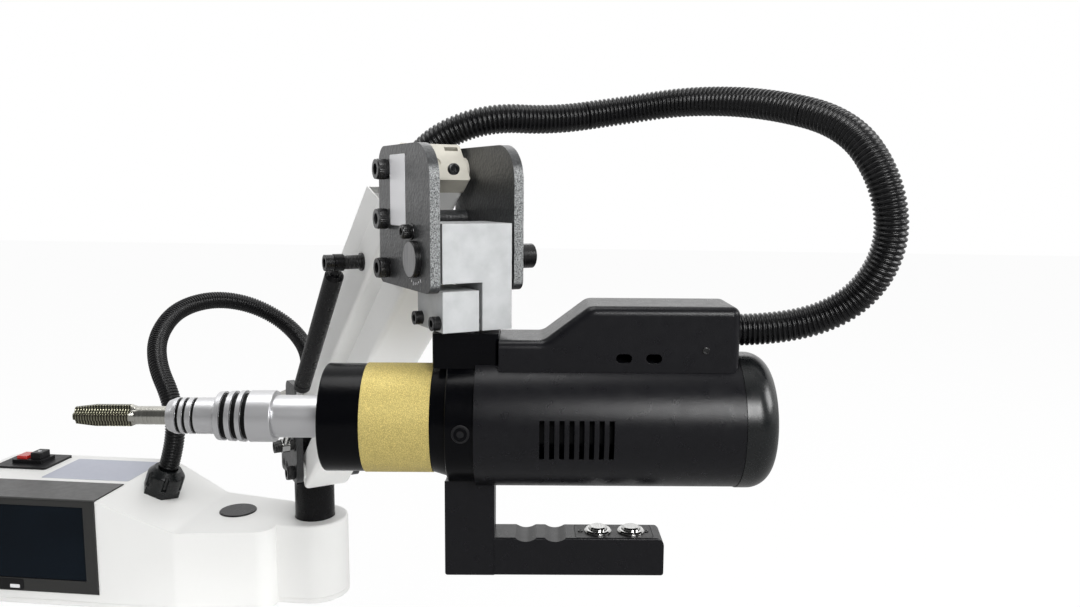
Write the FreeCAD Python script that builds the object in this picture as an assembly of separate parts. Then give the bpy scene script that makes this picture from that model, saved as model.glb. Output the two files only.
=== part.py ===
import FreeCAD, Part
import math
import os

# Arm tapping machine, in millimetres.
# The origin is on the column's axis at the bench, X runs along the base from the control box
# to the column, Y to the back and Z up.

# Shared clearances, standard fasteners and cutting allowance
running_clearance = 0.05
face_clearance = 0.4
cut_overrun = 2.0
wall_seat = 0.3
screw_radius = 5.0
screw_head_radius = 8.0
screw_head_height = 10.0
screw_socket_radius = 4.6
screw_socket_depth = 5.0
small_screw_radius = 3.0
small_head_radius = 5.0
small_head_height = 6.0
small_socket_radius = 2.9
small_socket_depth = 3.0

# Base: plan, heights and walls
base_left = 482.0
base_front = 84.0
base_back = 92.0
base_corner = 16.0
waist_foot = 150.0
waist_back = 66.0
waist_start = 228.0
waist_round = 30.0
nose_reach = 36.0
nose_front = 65.0
nose_back = 42.0
nose_corner = 20.0
plate_height = 6.0
box_height = 137.5
platform_height = 102.0
ramp_top = 249.0
ramp_foot = 150.0
ramp_foot_round = 24.0
ramp_top_round = 6.0
base_wall = 4.0
boss_radius = 42.0
boss_edge_round = 3.0

# Base fastening
bench_hole_radius = 4.2
bench_spacing_x = 300.0
bench_spacing_y = 90.0
bench_centre_x = -290.0
bench_boss_radius = 9.0
bench_boss_height = 14.0

# Column
column_radius = 25.0
column_flange_radius = 36.0
column_flange_height = 10.0
spigot_radius = 17.0

# Screen bezel and touch screen
bezel_right = 251.0
bezel_width = 215.0
bezel_low = 16.5
bezel_back = 19.0
bezel_depth = 8.0
bezel_proud = 1.6
bezel_round = 3.0
screen_inset_right = 15.0
screen_inset_left = 15.0
screen_inset_low = 17.5
screen_inset_top = 8.0
screen_depth = 5.0
screen_recess = 1.0

# Power switch on the box
switch_x = -430.0
switch_y = 54.0
switch_length = 76.0
switch_width = 60.0
switch_flange = 3.0
switch_corner = 3.0
switch_rim_length = 46.0
switch_rim_width = 30.0
switch_rim_height = 5.0
switch_body_depth = 32.0
button_well_length = 17.0
button_well_width = 22.0
button_well_gap = 4.0
button_clearance = 0.5
stop_button_height = 9.0
start_button_height = 14.0
switch_travel = 3.0
button_corner = 2.0

# Platform plug
plug_x = -105.0
plug_radius = 23.5
plug_hole_radius = 20.0
plug_lip = 1.8
plug_depth = 8.0
plug_lip_round = 1.2

# Cable gland on the ramp
gland_x = -211.0
gland_hex_flats = 43.0
gland_hex_height = 8.0
gland_dome_radius = 23.5
gland_dome_height = 27.0
gland_dome_round = 5.0
gland_dome_taper = 8.0
gland_mouth_radius = 17.0
gland_flute_radius = 3.0
gland_flute_count = 6
gland_thread_radius = 18.0
gland_nut_height = 6.0

# Mains inlet at the back and drive module inside
inlet_x = -430.0
inlet_z = 60.0
inlet_width = 50.0
inlet_height = 28.0
inlet_socket_width = 24.5
inlet_socket_height = 17.0
inlet_socket_depth = 18.0
inlet_flange = 2.5
inlet_body_depth = 24.0
inlet_ear_hole = 1.7
inlet_ear_spacing = 40.0
module_length = 150.0
module_width = 90.0
module_height = 70.0
module_x = -350.0
module_fin_count = 8
module_fin_depth = 8.0
module_fin_share = 0.5

# Turret
arm_heading = -55.0
turret_low = 157.0
turret_gap = 61.0
turret_thickness = 8.0
hub_back = 30.0
hub_front = 33.0
hub_corner = 10.0
hub_height = 92.0
bush_wall = 3.0
washer_height = 2.0
turret_plate_back = 10.0
turret_plate_rise = 12.0
turret_plate_front = 72.0
turret_plate_heel = 33.0
turret_plate_waist = 24.0
turret_plate_height = 134.0
turret_plate_corner = 12.0
hub_screw_offset = 1.0
hub_screw_pitch = 16.0
hub_screw_low = 22.0
cover_back = 56.0
cover_low = 64.0
cover_back_height = 99.0
cover_front_height = 122.0
cover_wall = 2.0
cover_corner = 5.0

# Parallelogram arm
pivot_reach = 59.0
pivot_low = 182.0
pivot_spacing = 80.0
link_length = 450.0
arm_elevation = 38.1
link_width = 54.0
link_height = 38.0
link_wall = 4.0
link_corner = 5.0
pivot_radius = 6.0
link_end_block = 44.0
link_end_reach = 11.0
link_end_inset = 6.0
link_heel = 11.0
end_notch_width = 12.0
end_notch_height = 4.0
end_notch_edge = 3.0
end_notch_depth = 8.0
end_bolt_radius = 5.0
end_bolt_depth = 2.0
pivot_ring_radius = 11.0
open_pivot_clearance = 0.3
link_end_corner = 2.5
tray_height = 29.0
tray_width = 50.0
tray_wall = 1.5
tray_start = 18.0
tray_end = 385.0
tray_slant = 18.0

# Gas spring
gas_offset = 50.0
gas_anchor = 314.5
gas_foot_reach = 63.0
gas_foot_height = 218.0
gas_tube_radius = 9.0
gas_tube_length = 196.0
gas_tube_wall = 1.5
gas_rod_radius = 4.0
gas_eye_radius = 8.0
gas_eye_width = 9.0
gas_eye_bore = 4.05
gas_foot_eye_radius = 8.5
gas_foot_eye_bore = 5.8
gas_neck_radius = 4.2
gas_neck_length = 12.0
gas_end_bevel = 3.0
gas_piston_length = 10.0
gas_groove_depth = 0.8
gas_groove_width = 2.0
gas_groove_place = 10.0
stud_radius = 4.0
stud_spacer_radius = 6.5
stud_flange_radius = 8.5
stud_flange_height = 2.0
stud_head_radius = 7.5
stud_head_height = 8.0
stud_washer_height = 1.5

# Head fork
fork_thickness = 8.0
fork_back = 20.4
fork_front = 506.0
fork_low = 446.5
fork_high = 558.5
fork_front_round = 28.0
fork_top_round = 14.0
fork_low_round = 8.0
spacer_radius = 7.0

# Knuckle: tilting block, clamp block and tilt pin
tilt_reach = 475.0
tilt_height = 470.7
tilt_pin_radius = 9.0
tilt_disc_radius = 14.3
tilt_disc_height = 1.5
tilt_nut_radius = 10.0
tilt_nut_height = 23.5
tilt_socket_radius = 5.0
tilt_socket_depth = 5.0
pin_lock_rise = 18.0
pin_lock_back = 15.0
head_axis_reach = 480.0
knuckle_width = 57.4
knuckle_depth = 51.0
knuckle_low = 417.0
knuckle_high = 498.5
knuckle_step = 454.0
clamp_gap = 6.0
split_gap = 2.8
split_offset = 2.4
swivel_radius = 12.0
stub_reach = 26.0
clamp_screw_rise = 6.8
clamp_screw_spread = 17.8

# Head: spindle axis height, motor and mount block, from the swivel axis along the motor
head_heading = 6.5
spindle_height = 344.0
mount_front = -22.6
mount_back = 28.0
mount_half_width = 24.0
mount_high = 415.0
mount_corner = 3.0
collar_front = -11.6
collar_back = 10.2
collar_radius = 50.0
collar_screw_radius = 5.0
motor_radius = 53.0
motor_back = 213.0
motor_wall = 2.5
cap_back = 240.6
cap_round = 19.0
cap_lip = 0.6
vent_first = 61.1
vent_pitch = 7.4
vent_count = 8
vent_width = 3.8
vent_high = 11.0
vent_low = -19.0
vent_depth = 7.0
flange_front = -23.5
flange_radius = 46.0
gold_front = -76.3
gear_radius = 42.5
black_front = -108.4
ring_edge = 1.5
core_radius = 38.0
core_front = 30.0
core_back = 180.0

# Cable hump on the motor
hump_half_width = 31.0
hump_neck_high = 411.0
hump_high = 437.5
hump_front = 28.2
hump_rise_start = 62.0
hump_rise_end = 97.0
hump_back = 211.0
hump_back_round = 7.0
hump_side_round = 7.0
hump_wall = 3.0
hump_skin = 4.0
hump_slot_x = 122.9
hump_slot_pitch = 22.7
hump_slot_length = 12.0
hump_slot_height = 7.0
hump_slot_z = 398.0

# Handle
handle_front = -14.7
handle_back = 24.4
handle_half_width = 15.0
handle_low = 219.0
grip_high = 250.0
grip_back = 159.2
grip_half_width = 15.5
grip_edge = 1.6
grip_end_round = 6.0
grip_end_low_round = 3.0
panel_seat = 0.3
handle_edge = 2.0
finger_first = 49.4
finger_pitch = 23.6
finger_radius = 13.0
finger_depth = 3.0
finger_count = 2
panel_front = 89.0
panel_back = 151.0
panel_half_width = 13.6
panel_rise = 1.6
push_first = 107.6
push_pitch = 26.7
push_bezel_radius = 11.0
push_bezel_height = 2.4
push_bezel_bevel = 1.2
push_radius = 7.6
push_clearance = 0.4
push_travel = 1.0
push_proud = 2.2
push_stem_radius = 8.0
push_depth = 24.0

# Spindle, quick-change chuck, tap adaptor and tap
nose_front_x = -149.0
spindle_radius = 16.8
sleeve_front = -194.2
sleeve_back = -147.1
sleeve_radius = 20.4
sleeve_neck_radius = 15.0
sleeve_taper_radius = 19.2
sleeve_taper_length = 22.0
sleeve_groove_share = (0.15, 0.33, 0.5)
sleeve_groove_length = 4.4
sleeve_groove_depth = 1.6
sleeve_edge = 1.0
sleeve_travel = 6.0
adaptor_front = -233.1
adaptor_radius = 14.4
adaptor_shank_radius = 9.5
adaptor_shank_back = -156.0
adaptor_groove_share = (0.24, 0.38, 0.55)
adaptor_groove_length = 2.6
adaptor_groove_depth = 1.2
adaptor_nose = 5.5
adaptor_nose_radius = 12.2
tap_shank_radius = 7.3
tap_shank_back = -201.0
tap_thread_radius = 8.7
tap_thread_back = -264.0
tap_tip = -307.6
tap_tip_radius = 6.8
tap_lead = 16.0
tap_neck = 4.0
tap_flute_radius = 4.2
tap_flute_offset = 9.2
tap_flute_count = 4
tap_runout = 12.0

# Hose
hose_radius = 12.5
hose_bore = 10.0
rib_pitch = 20.0
rib_depth = 1.6
rib_crest_share = 0.36
rib_flank_share = 0.12
socket_depth = 8.0
socket_lip = 2.5
hose_lead = 50.0
plain_end = 26.0
bend_share = 0.45

# Routes of the hoses between their straight ends, chosen points
lower_route = [
    (-195, 9, 247), (-227, 32, 287), (-249, 74, 320), (-248, 128, 350), (-219, 180, 360),
    (-180, 221, 348), (-137, 242, 320), (-98, 229, 288), (-72, 186, 260),
]
upper_rear_route = [(235, -306, 569), (281, -302, 586), (332, -275, 585), (362, -266, 590)]
upper_middle_route = [
    (362, -266, 590), (392, -257, 595), (452, -267, 603), (514, -306, 597), (541, -331, 587),
]
upper_front_route = [
    (541, -331, 587), (568, -356, 577), (592, -384, 534), (600, -384, 483), (578, -370, 438),
]


def vec(x=0, y=0, z=0):
    return FreeCAD.Vector(x, y, z)


def turned_about_z(angle):
    return FreeCAD.Placement(vec(), FreeCAD.Rotation(vec(0, 0, 1), angle))


def moved(shape, placement):
    """A copy of a shape, carried by a placement."""
    copy = shape.copy()
    copy.Placement = placement.multiply(copy.Placement)
    return copy


def group(shapes):
    return Part.makeCompound(list(shapes))


def fused(shapes):
    """One solid from touching or overlapping shapes."""
    first, *others = shapes
    return first.fuse(others).removeSplitter()


def rod(radius, start, end):
    axis = end - start
    return Part.makeCylinder(radius, axis.Length, start, axis)


def ring(outer, inner, start, end):
    along = (end - start).normalize() * cut_overrun
    return rod(outer, start, end).cut(rod(inner, start - along, end + along))


def block(low, high):
    return Part.makeBox(high.x - low.x, high.y - low.y, high.z - low.z, low)


def outline(corners, lift):
    """Closed wire through (u, v, radius) corners, with a tangent arc at each rounded one."""
    stations = []
    for index, (u, v, radius) in enumerate(corners):
        here = vec(u, v)
        before = vec(*corners[index - 1][:2])
        after = vec(*corners[(index + 1) % len(corners)][:2])
        back = (before - here).normalize()
        ahead = (after - here).normalize()
        if radius > 0:
            half = back.getAngle(ahead) / 2
            reach = radius / math.tan(half)
            inward = (back + ahead).normalize() * (radius / math.sin(half) - radius)
            stations.append((here + back * reach, here + inward, here + ahead * reach))
        else:
            stations.append((here, None, here))
    edges = []
    for index, (start, middle, end) in enumerate(stations):
        if middle is not None:
            edges.append(Part.Arc(lift(start), lift(middle), lift(end)).toShape())
        following = stations[(index + 1) % len(stations)][0]
        if (following - end).Length > running_clearance:
            edges.append(Part.LineSegment(lift(end), lift(following)).toShape())
    return Part.Wire(edges)


def prism(corners, lift, along):
    """Solid from a rounded outline pushed along a vector."""
    return Part.Face(outline(corners, lift)).extrude(along)


def plan_prism(corners, low, high):
    return prism(corners, lambda p: vec(p.x, p.y, low), vec(0, 0, high - low))


def side_prism(corners, near, far):
    """Solid from an outline in X and Z, from one Y to another."""
    return prism(corners, lambda p: vec(p.x, near, p.y), vec(0, far - near, 0))


def end_prism(corners, near, far):
    """Solid from an outline in Y and Z, from one X to another."""
    return prism(corners, lambda p: vec(near, p.x, p.y), vec(far - near, 0, 0))


def turned(corners, centre=None):
    """Solid of revolution about an axis parallel to X, from (x, radius, rounding) corners."""
    face = Part.Face(outline(corners, lambda p: vec(p.x, 0, p.y)))
    solid = face.revolve(vec(), vec(1, 0, 0), 360)
    if centre is not None:
        solid.translate(centre)
    return solid


def stepped(stations):
    """Corners of a solid turned piece from (x, radius, rounding) stations along its outside."""
    first = stations[0]
    last = stations[-1]
    return [(first[0], 0, 0)] + list(stations) + [(last[0], 0, 0)]


def across(radius, x, z, near, far):
    """Rod along Y."""
    return rod(radius, vec(x, near, z), vec(x, far, z))


def upright(radius, x, y, low, high):
    return rod(radius, vec(x, y, low), vec(x, y, high))


def socket_screw(seat, direction, length, radius=screw_radius, head=screw_head_radius,
                 height=screw_head_height, socket=screw_socket_radius, depth=screw_socket_depth):
    """Socket-head screw whose head stands on seat and whose shank runs along direction."""
    along = vec(*direction).normalize()
    top = seat - along * height
    body = rod(radius, seat, seat + along * length).fuse(rod(head, top, seat))
    return body.cut(rod(socket, top - along * cut_overrun, top + along * depth)).removeSplitter()


def hexagon(flats, height):
    """Hexagonal prism standing on the origin."""
    corner = flats / math.sqrt(3)
    points = []
    for step in range(6):
        angle = math.radians(60 * step)
        points.append((corner * math.cos(angle), corner * math.sin(angle), 0))
    return plan_prism(points, 0, height)


# Frames that carry the arm and the head

def arm_frame():
    return turned_about_z(arm_heading)


def link_frame(low):
    """From a link's own frame, along X from its turret pivot, to the arm's."""
    pivot = vec(pivot_reach, 0, low)
    return FreeCAD.Placement(pivot, FreeCAD.Rotation(vec(0, 1, 0), -arm_elevation))


def head_frame():
    """From the motor's own frame, at the bench under the swivel axis, to the machine's."""
    foot = arm_frame().multVec(vec(head_axis_reach, 0, 0))
    return FreeCAD.Placement(foot, FreeCAD.Rotation(vec(0, 0, 1), head_heading))


def on_arm(shape):
    return moved(shape, arm_frame())


def on_link(shape, low):
    return moved(shape, arm_frame().multiply(link_frame(low)))


def on_head(shape):
    return moved(shape, head_frame())


# Base

def ramp_height(x):
    share = (-ramp_foot - x) / (ramp_top - ramp_foot)
    return platform_height + share * (box_height - platform_height)


def ramp_angle():
    return math.degrees(math.atan2(box_height - platform_height, ramp_top - ramp_foot))


def base_plan(inset):
    """Plan of the base, drawn in by an inset all round."""
    left = inset - base_left
    return [
        (left, inset - base_front, base_corner),
        (-waist_foot, inset - base_front, waist_round),
        (-nose_reach - inset, inset - nose_front, nose_corner),
        (-nose_reach - inset, nose_back - inset, nose_corner),
        (-waist_foot, waist_back - inset, waist_round),
        (-waist_start, base_back - inset, base_corner),
        (left, base_back - inset, base_corner),
    ]


def base_form(inset, low):
    """Box, ramp and platform as one closed form."""
    plan = plan_prism(base_plan(inset), low, box_height)
    side = [
        (-base_left - cut_overrun, low, 0),
        (boss_radius, low, 0),
        (boss_radius, platform_height - inset, 0),
        (-ramp_foot, platform_height - inset, ramp_foot_round),
        (-ramp_top, box_height - inset, ramp_top_round),
        (-base_left - cut_overrun, box_height - inset, 0),
    ]
    return plan.common(side_prism(side, -base_front - cut_overrun, base_back + cut_overrun))


def upright_turned(stations):
    """Solid turned about Z from (z, radius, rounding) stations."""
    corners = [(radius, z, rounding) for z, radius, rounding in stations]
    corners = [(0, stations[0][0], 0)] + corners + [(0, stations[-1][0], 0)]
    face = Part.Face(outline(corners, lambda p: vec(p.x, 0, p.y)))
    return face.revolve(vec(), vec(0, 0, 1), 360)


def boss_form(inset, low, high):
    """Straight-sided boss with a round end about the column, from one height to another."""
    radius = boss_radius - inset
    start = -nose_reach - nose_corner
    corners = [
        (start, -radius, 0),
        (radius, -radius, radius),
        (radius, radius, radius),
        (start, radius, 0),
    ]
    return plan_prism(corners, low, high)


def base_housing():
    """Cast box and platform, open below, with the column's boss at its end."""
    low = plate_height - cut_overrun
    boss = boss_form(0, plate_height, platform_height)
    rim = [e for e in boss.Edges if e.BoundBox.ZMin > platform_height - running_clearance
           and e.BoundBox.XMax > -nose_reach]
    boss = boss.makeFillet(boss_edge_round, rim)
    shell = base_form(0, plate_height).fuse(boss).removeSplitter()
    cavity = base_form(base_wall, low)
    shell = shell.cut(cavity.fuse(boss_form(base_wall, low, platform_height - base_wall)))
    shell = shell.cut(upright(column_radius + face_clearance, 0, 0, plate_height, platform_height + cut_overrun))
    for opening in (bezel_prism(wall_seat), switch_opening(), plug_opening(), gland_opening(), inlet_opening()):
        shell = shell.cut(opening)
    return shell.removeSplitter()


def bench_holes():
    """Centres of the threaded holes that bench bolts come up into."""
    places = []
    for side_x in (-1, 1):
        for side_y in (-1, 1):
            x = bench_centre_x + side_x * bench_spacing_x / 2
            places.append((x, side_y * bench_spacing_y / 2))
    return places


def base_plate():
    """Steel floor of the base, with a raised boss round each bench hole."""
    plate = plan_prism(base_plan(0), 0, plate_height).fuse(boss_form(0, 0, plate_height))
    top = plate_height + bench_boss_height
    for x, y in bench_holes():
        plate = plate.fuse(upright(bench_boss_radius, x, y, 0, top))
    for x, y in bench_holes():
        plate = plate.cut(upright(bench_hole_radius, x, y, -cut_overrun, top + cut_overrun))
    return plate.removeSplitter()


def turret_floor():
    """Height of the column's shoulder, under the thrust washer."""
    return turret_low - washer_height


def column_post():
    """Column turned from one bar: foot flange, shaft and the spigot that the turret turns on."""
    flange_top = plate_height + column_flange_height
    return upright_turned([
        (plate_height, column_flange_radius, 0),
        (flange_top, column_flange_radius, 0),
        (flange_top, column_radius, 0),
        (turret_floor(), column_radius, 0),
        (turret_floor(), spigot_radius, 0),
        (turret_low + hub_height, spigot_radius, 0),
    ])


# Control box fittings

def bezel_corners(grow):
    """Side outline of the bezel: a front panel with a top strip that wraps over the edge."""
    front = -base_front - bezel_proud
    top = box_height + bezel_proud
    inner_front = -base_front + bezel_depth
    inner_top = box_height - bezel_depth
    return [
        (front - grow, bezel_low - grow, 0 if grow else bezel_round / 2),
        (inner_front, bezel_low - grow, 0),
        (inner_front, inner_top, 0),
        (-bezel_back + grow, inner_top, 0),
        (-bezel_back + grow, top + grow, 0 if grow else bezel_round / 2),
        (front - grow, top + grow, 0 if grow else bezel_round),
    ]


def bezel_prism(grow):
    near = -bezel_right - bezel_width - grow
    far = -bezel_right + grow
    return prism(bezel_corners(grow), lambda p: vec(near, p.x, p.y), vec(far - near, 0, 0))


def screen_box(grow, front, back):
    low = vec(-bezel_right - bezel_width + screen_inset_left - grow, front, bezel_low + screen_inset_low - grow)
    high = vec(-bezel_right - screen_inset_right + grow, back, box_height - screen_inset_top + grow)
    return block(low, high)


def screen_bezel():
    frame = bezel_prism(0)
    front = -base_front - bezel_proud
    window = screen_box(wall_seat, front - cut_overrun, -base_front + bezel_depth + cut_overrun)
    ledge = -base_front + bezel_depth
    return frame.cut(window.cut(block(
        vec(-base_left, ledge, 0), vec(0, base_back, box_height))))


def touch_screen():
    front = -base_front - bezel_proud + screen_recess
    glass = screen_box(0, front, front + screen_depth)
    return glass.makeChamfer(screen_recess / 2, [e for e in glass.Edges if e.BoundBox.YMax < front + running_clearance])


def switch_places():
    """Centres of the stop and start buttons, along X."""
    step = (button_well_length + button_well_gap) / 2
    return (switch_x - step, switch_x + step)


def switch_opening():
    return block(
        vec(switch_x - switch_rim_length / 2, switch_y - switch_rim_width / 2, box_height - base_wall - cut_overrun),
        vec(switch_x + switch_rim_length / 2, switch_y + switch_rim_width / 2, box_height + cut_overrun))


def rounded_pad(x, y, length, width, low, high, corner):
    corners = [
        (x - length / 2, y - width / 2, corner),
        (x + length / 2, y - width / 2, corner),
        (x + length / 2, y + width / 2, corner),
        (x - length / 2, y + width / 2, corner),
    ]
    return plan_prism(corners, low, high)


def switch_frame():
    """Switch housing: flange, raised rim and body, with a well for each button."""
    top = box_height + switch_flange
    flange = rounded_pad(switch_x, switch_y, switch_length, switch_width, box_height, top, switch_corner)
    rim = rounded_pad(switch_x, switch_y, switch_rim_length, switch_rim_width, box_height,
                      top + switch_rim_height, switch_corner)
    body = block(
        vec(switch_x - switch_rim_length / 2 + wall_seat, switch_y - switch_rim_width / 2 + wall_seat,
            box_height - switch_body_depth),
        vec(switch_x + switch_rim_length / 2 - wall_seat, switch_y + switch_rim_width / 2 - wall_seat, box_height))
    frame = fused([flange, rim, body])
    for x in switch_places():
        frame = frame.cut(rounded_pad(x, switch_y, button_well_length, button_well_width,
                                      box_height - switch_body_depth / 2, top + start_button_height, button_corner))
    return frame


def switch_button(x, rise):
    top = box_height + switch_flange + rise
    low = box_height - switch_body_depth / 2 + switch_travel + face_clearance
    cap = rounded_pad(x, switch_y, button_well_length - 2 * button_clearance,
                      button_well_width - 2 * button_clearance, low, top, button_corner)
    return cap.makeFillet(button_corner / 2, [e for e in cap.Edges if e.BoundBox.ZMin > top - running_clearance])


def plug_opening():
    return upright(plug_hole_radius + wall_seat, plug_x, 0, platform_height - base_wall - cut_overrun,
                   platform_height + cut_overrun)


def platform_plug():
    plug = upright_turned([
        (platform_height - plug_depth, plug_hole_radius, 0),
        (platform_height, plug_hole_radius, 0),
        (platform_height, plug_radius, 0),
        (platform_height + plug_lip, plug_radius, plug_lip_round),
    ])
    plug.translate(vec(plug_x, 0, 0))
    return plug


def gland_frame():
    seat = vec(gland_x, 0, ramp_height(gland_x))
    return FreeCAD.Placement(seat, FreeCAD.Rotation(vec(0, 1, 0), ramp_angle()))


def gland_opening():
    hole = upright(gland_thread_radius + wall_seat, 0, 0, -base_wall - gland_nut_height, cut_overrun)
    return moved(hole, gland_frame())


def gland_top():
    return gland_hex_height + gland_dome_height


def base_gland():
    """Cable gland: hexagon foot, fluted dome nut, threaded neck and lock nut."""
    foot = hexagon(gland_hex_flats, gland_hex_height)
    dome = upright_turned([
        (gland_hex_height, gland_dome_radius, 0),
        (gland_top() - gland_dome_taper, gland_dome_radius, gland_dome_round),
        (gland_top(), gland_mouth_radius, 0),
    ])
    for step in range(gland_flute_count):
        angle = math.radians(360 / gland_flute_count * step)
        x = gland_dome_radius * math.cos(angle)
        y = gland_dome_radius * math.sin(angle)
        dome = dome.cut(upright(gland_flute_radius, x, y, gland_hex_height + gland_flute_radius,
                                gland_top() + cut_overrun))
    low = -base_wall - gland_nut_height
    neck = upright(gland_thread_radius, 0, 0, low, gland_hex_height)
    nut = hexagon(gland_hex_flats - gland_nut_height, gland_nut_height - wall_seat)
    nut.translate(vec(0, 0, low))
    body = fused([foot, dome, neck, nut])
    body = body.cut(upright(hose_bore, 0, 0, low - cut_overrun, gland_top() + cut_overrun))
    body = body.cut(upright(hose_radius + wall_seat, 0, 0, gland_top() - socket_depth, gland_top() + cut_overrun))
    return moved(body, gland_frame())


def inlet_opening():
    half = inlet_width / 2 - inlet_height / 4
    rise = inlet_height / 2 - inlet_flange
    return block(vec(inlet_x - half, base_back - base_wall - cut_overrun, inlet_z - rise),
                 vec(inlet_x + half, base_back + cut_overrun, inlet_z + rise))


def mains_inlet():
    """Mains inlet: a flanged socket with two screw ears."""
    corner = inlet_height / 4
    flange = prism([
        (inlet_x - inlet_width / 2, inlet_z - inlet_height / 2, corner),
        (inlet_x + inlet_width / 2, inlet_z - inlet_height / 2, corner),
        (inlet_x + inlet_width / 2, inlet_z + inlet_height / 2, corner),
        (inlet_x - inlet_width / 2, inlet_z + inlet_height / 2, corner),
    ], lambda p: vec(p.x, base_back, p.y), vec(0, inlet_flange, 0))
    body = block(
        vec(inlet_x - inlet_width / 2 + corner + wall_seat, base_back - inlet_body_depth,
            inlet_z - inlet_height / 2 + inlet_flange + wall_seat),
        vec(inlet_x + inlet_width / 2 - corner - wall_seat, base_back,
            inlet_z + inlet_height / 2 - inlet_flange - wall_seat))
    inlet = flange.fuse(body)
    mouth = base_back + inlet_flange
    inlet = inlet.cut(block(
        vec(inlet_x - inlet_socket_width / 2, mouth - inlet_socket_depth, inlet_z - inlet_socket_height / 2),
        vec(inlet_x + inlet_socket_width / 2, mouth + cut_overrun, inlet_z + inlet_socket_height / 2)))
    for side in (-1, 1):
        x = inlet_x + side * inlet_ear_spacing / 2
        inlet = inlet.cut(across(inlet_ear_hole, x, inlet_z, base_back - cut_overrun, mouth + cut_overrun))
    return inlet.removeSplitter()


def drive_module():
    """Servo drive on the base plate, with a finned side."""
    low = vec(module_x - module_length / 2, -module_width / 2, plate_height)
    high = vec(module_x + module_length / 2, module_width / 2, plate_height + module_height)
    module = block(low, high)
    pitch = module_length / module_fin_count
    for step in range(module_fin_count):
        x = low.x + pitch * step + pitch * module_fin_share / 2
        module = module.cut(block(
            vec(x, high.y - module_fin_depth, plate_height + module_fin_depth),
            vec(x + pitch * module_fin_share, high.y + cut_overrun, high.z + cut_overrun)))
    return module


# Turret

def turret_hub():
    """Hub that turns on the column's spigot and carries both side plates."""
    half = turret_gap / 2
    corners = [
        (-hub_back, -half, hub_corner),
        (hub_front, -half, 0),
        (hub_front, half, 0),
        (-hub_back, half, hub_corner),
    ]
    hub = plan_prism(corners, turret_low, turret_low + hub_height)
    hub = hub.cut(upright(spigot_radius + bush_wall, 0, 0, turret_low - cut_overrun,
                          turret_low + hub_height + cut_overrun))
    relief = turret_low + hub_height / 2
    hub = hub.cut(block(vec(hub_front - face_clearance * 10, -half - cut_overrun, relief),
                        vec(hub_front + cut_overrun, half + cut_overrun, relief + cut_overrun)))
    for side in (-1, 1):
        for place in hub_screw_places():
            hub = hub.cut(across(small_screw_radius, place.x, place.z, side * (half - small_head_height * 1.5),
                                 side * (half + cut_overrun)))
    return on_arm(hub)


def hub_screw_places():
    """Level pair of screws that hold each side plate to the hub."""
    return tuple(vec(hub_screw_offset + hub_screw_pitch * step, 0, turret_low + hub_screw_low) for step in range(2))


def turret_bush():
    """Bronze bush in the hub, with its thrust washer on the column's shoulder."""
    inner = spigot_radius + running_clearance
    bush = ring(spigot_radius + bush_wall, inner, vec(0, 0, turret_low), vec(0, 0, turret_low + hub_height))
    washer = ring(column_radius, inner, vec(0, 0, turret_floor()), vec(0, 0, turret_low))
    return on_arm(fused([bush, washer]))


def pivot_heights():
    return (pivot_low, pivot_low + pivot_spacing)


def turret_plate(side):
    """Side plate of the turret: an upright bar with a heel that is screwed to the hub."""
    foot = turret_low + turret_plate_rise
    top = turret_low + turret_plate_height
    corners = [
        (-turret_plate_back, foot, turret_plate_corner / 2),
        (turret_plate_front, foot, turret_plate_corner),
        (turret_plate_front, top, turret_plate_corner),
        (turret_plate_waist, top, turret_plate_corner),
        (turret_plate_waist, turret_low + turret_plate_heel + turret_plate_corner, turret_plate_corner / 2),
        (-turret_plate_back, turret_low + turret_plate_heel, turret_plate_corner / 2),
    ]
    near = side * turret_gap / 2
    far = near + side * turret_thickness
    plate = side_prism(corners, near, far)
    low, high = min(near, far) - cut_overrun, max(near, far) + cut_overrun
    for z in pivot_heights():
        plate = plate.cut(across(pivot_radius + running_clearance, pivot_reach, z, low, high))
    for place in hub_screw_places():
        plate = plate.cut(across(small_screw_radius + running_clearance, place.x, place.z, low, high))
    if side < 0:
        plate = plate.cut(across(stud_radius + running_clearance, gas_foot_reach, gas_foot_height, low, high))
    return on_arm(plate)


def pivot_pin(x, z, half_outer):
    """Shoulder bolt across two plates: socket head on the left, thin nut on the right."""
    pin = across(pivot_radius, x, z, -half_outer, half_outer + face_clearance)
    head = across(screw_head_radius, x, z, -half_outer - screw_head_height, -half_outer)
    socket = across(screw_socket_radius, x, z, -half_outer - screw_head_height - cut_overrun,
                    -half_outer - screw_head_height + screw_socket_depth)
    nut = moved(hexagon(screw_head_radius * 2, small_head_height),
                FreeCAD.Placement(vec(x, half_outer, z), FreeCAD.Rotation(vec(1, 0, 0), -90)))
    return fused([pin, head, nut]).cut(socket)


def turret_pivot_pins():
    half_outer = turret_gap / 2 + turret_thickness
    return on_arm(group(pivot_pin(pivot_reach, z, half_outer) for z in pivot_heights()))


def gas_stud(x, z, base_y, eye_y, depth):
    """Standoff bolt for a gas spring's eye: flange, spacer, washer, shank and socket head, towards -Y."""
    near_eye = eye_y + gas_eye_width / 2 + face_clearance
    far_eye = eye_y - gas_eye_width / 2 - face_clearance
    flange = across(stud_flange_radius, x, z, base_y, base_y - stud_flange_height)
    spacer = across(stud_spacer_radius, x, z, base_y, near_eye)
    shank = across(stud_radius, x, z, base_y + depth, far_eye)
    washer = across(stud_head_radius, x, z, far_eye, far_eye - stud_washer_height)
    head = across(stud_head_radius, x, z, far_eye, far_eye - stud_head_height)
    socket = across(screw_socket_radius, x, z, far_eye - stud_head_height - cut_overrun,
                    far_eye - stud_head_height + screw_socket_depth)
    return fused([flange, spacer, shank, washer, head]).cut(socket)


def gas_lower_stud():
    outer = -turret_gap / 2 - turret_thickness
    return on_arm(gas_stud(gas_foot_reach, gas_foot_height, outer, -gas_offset, turret_thickness))


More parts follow.
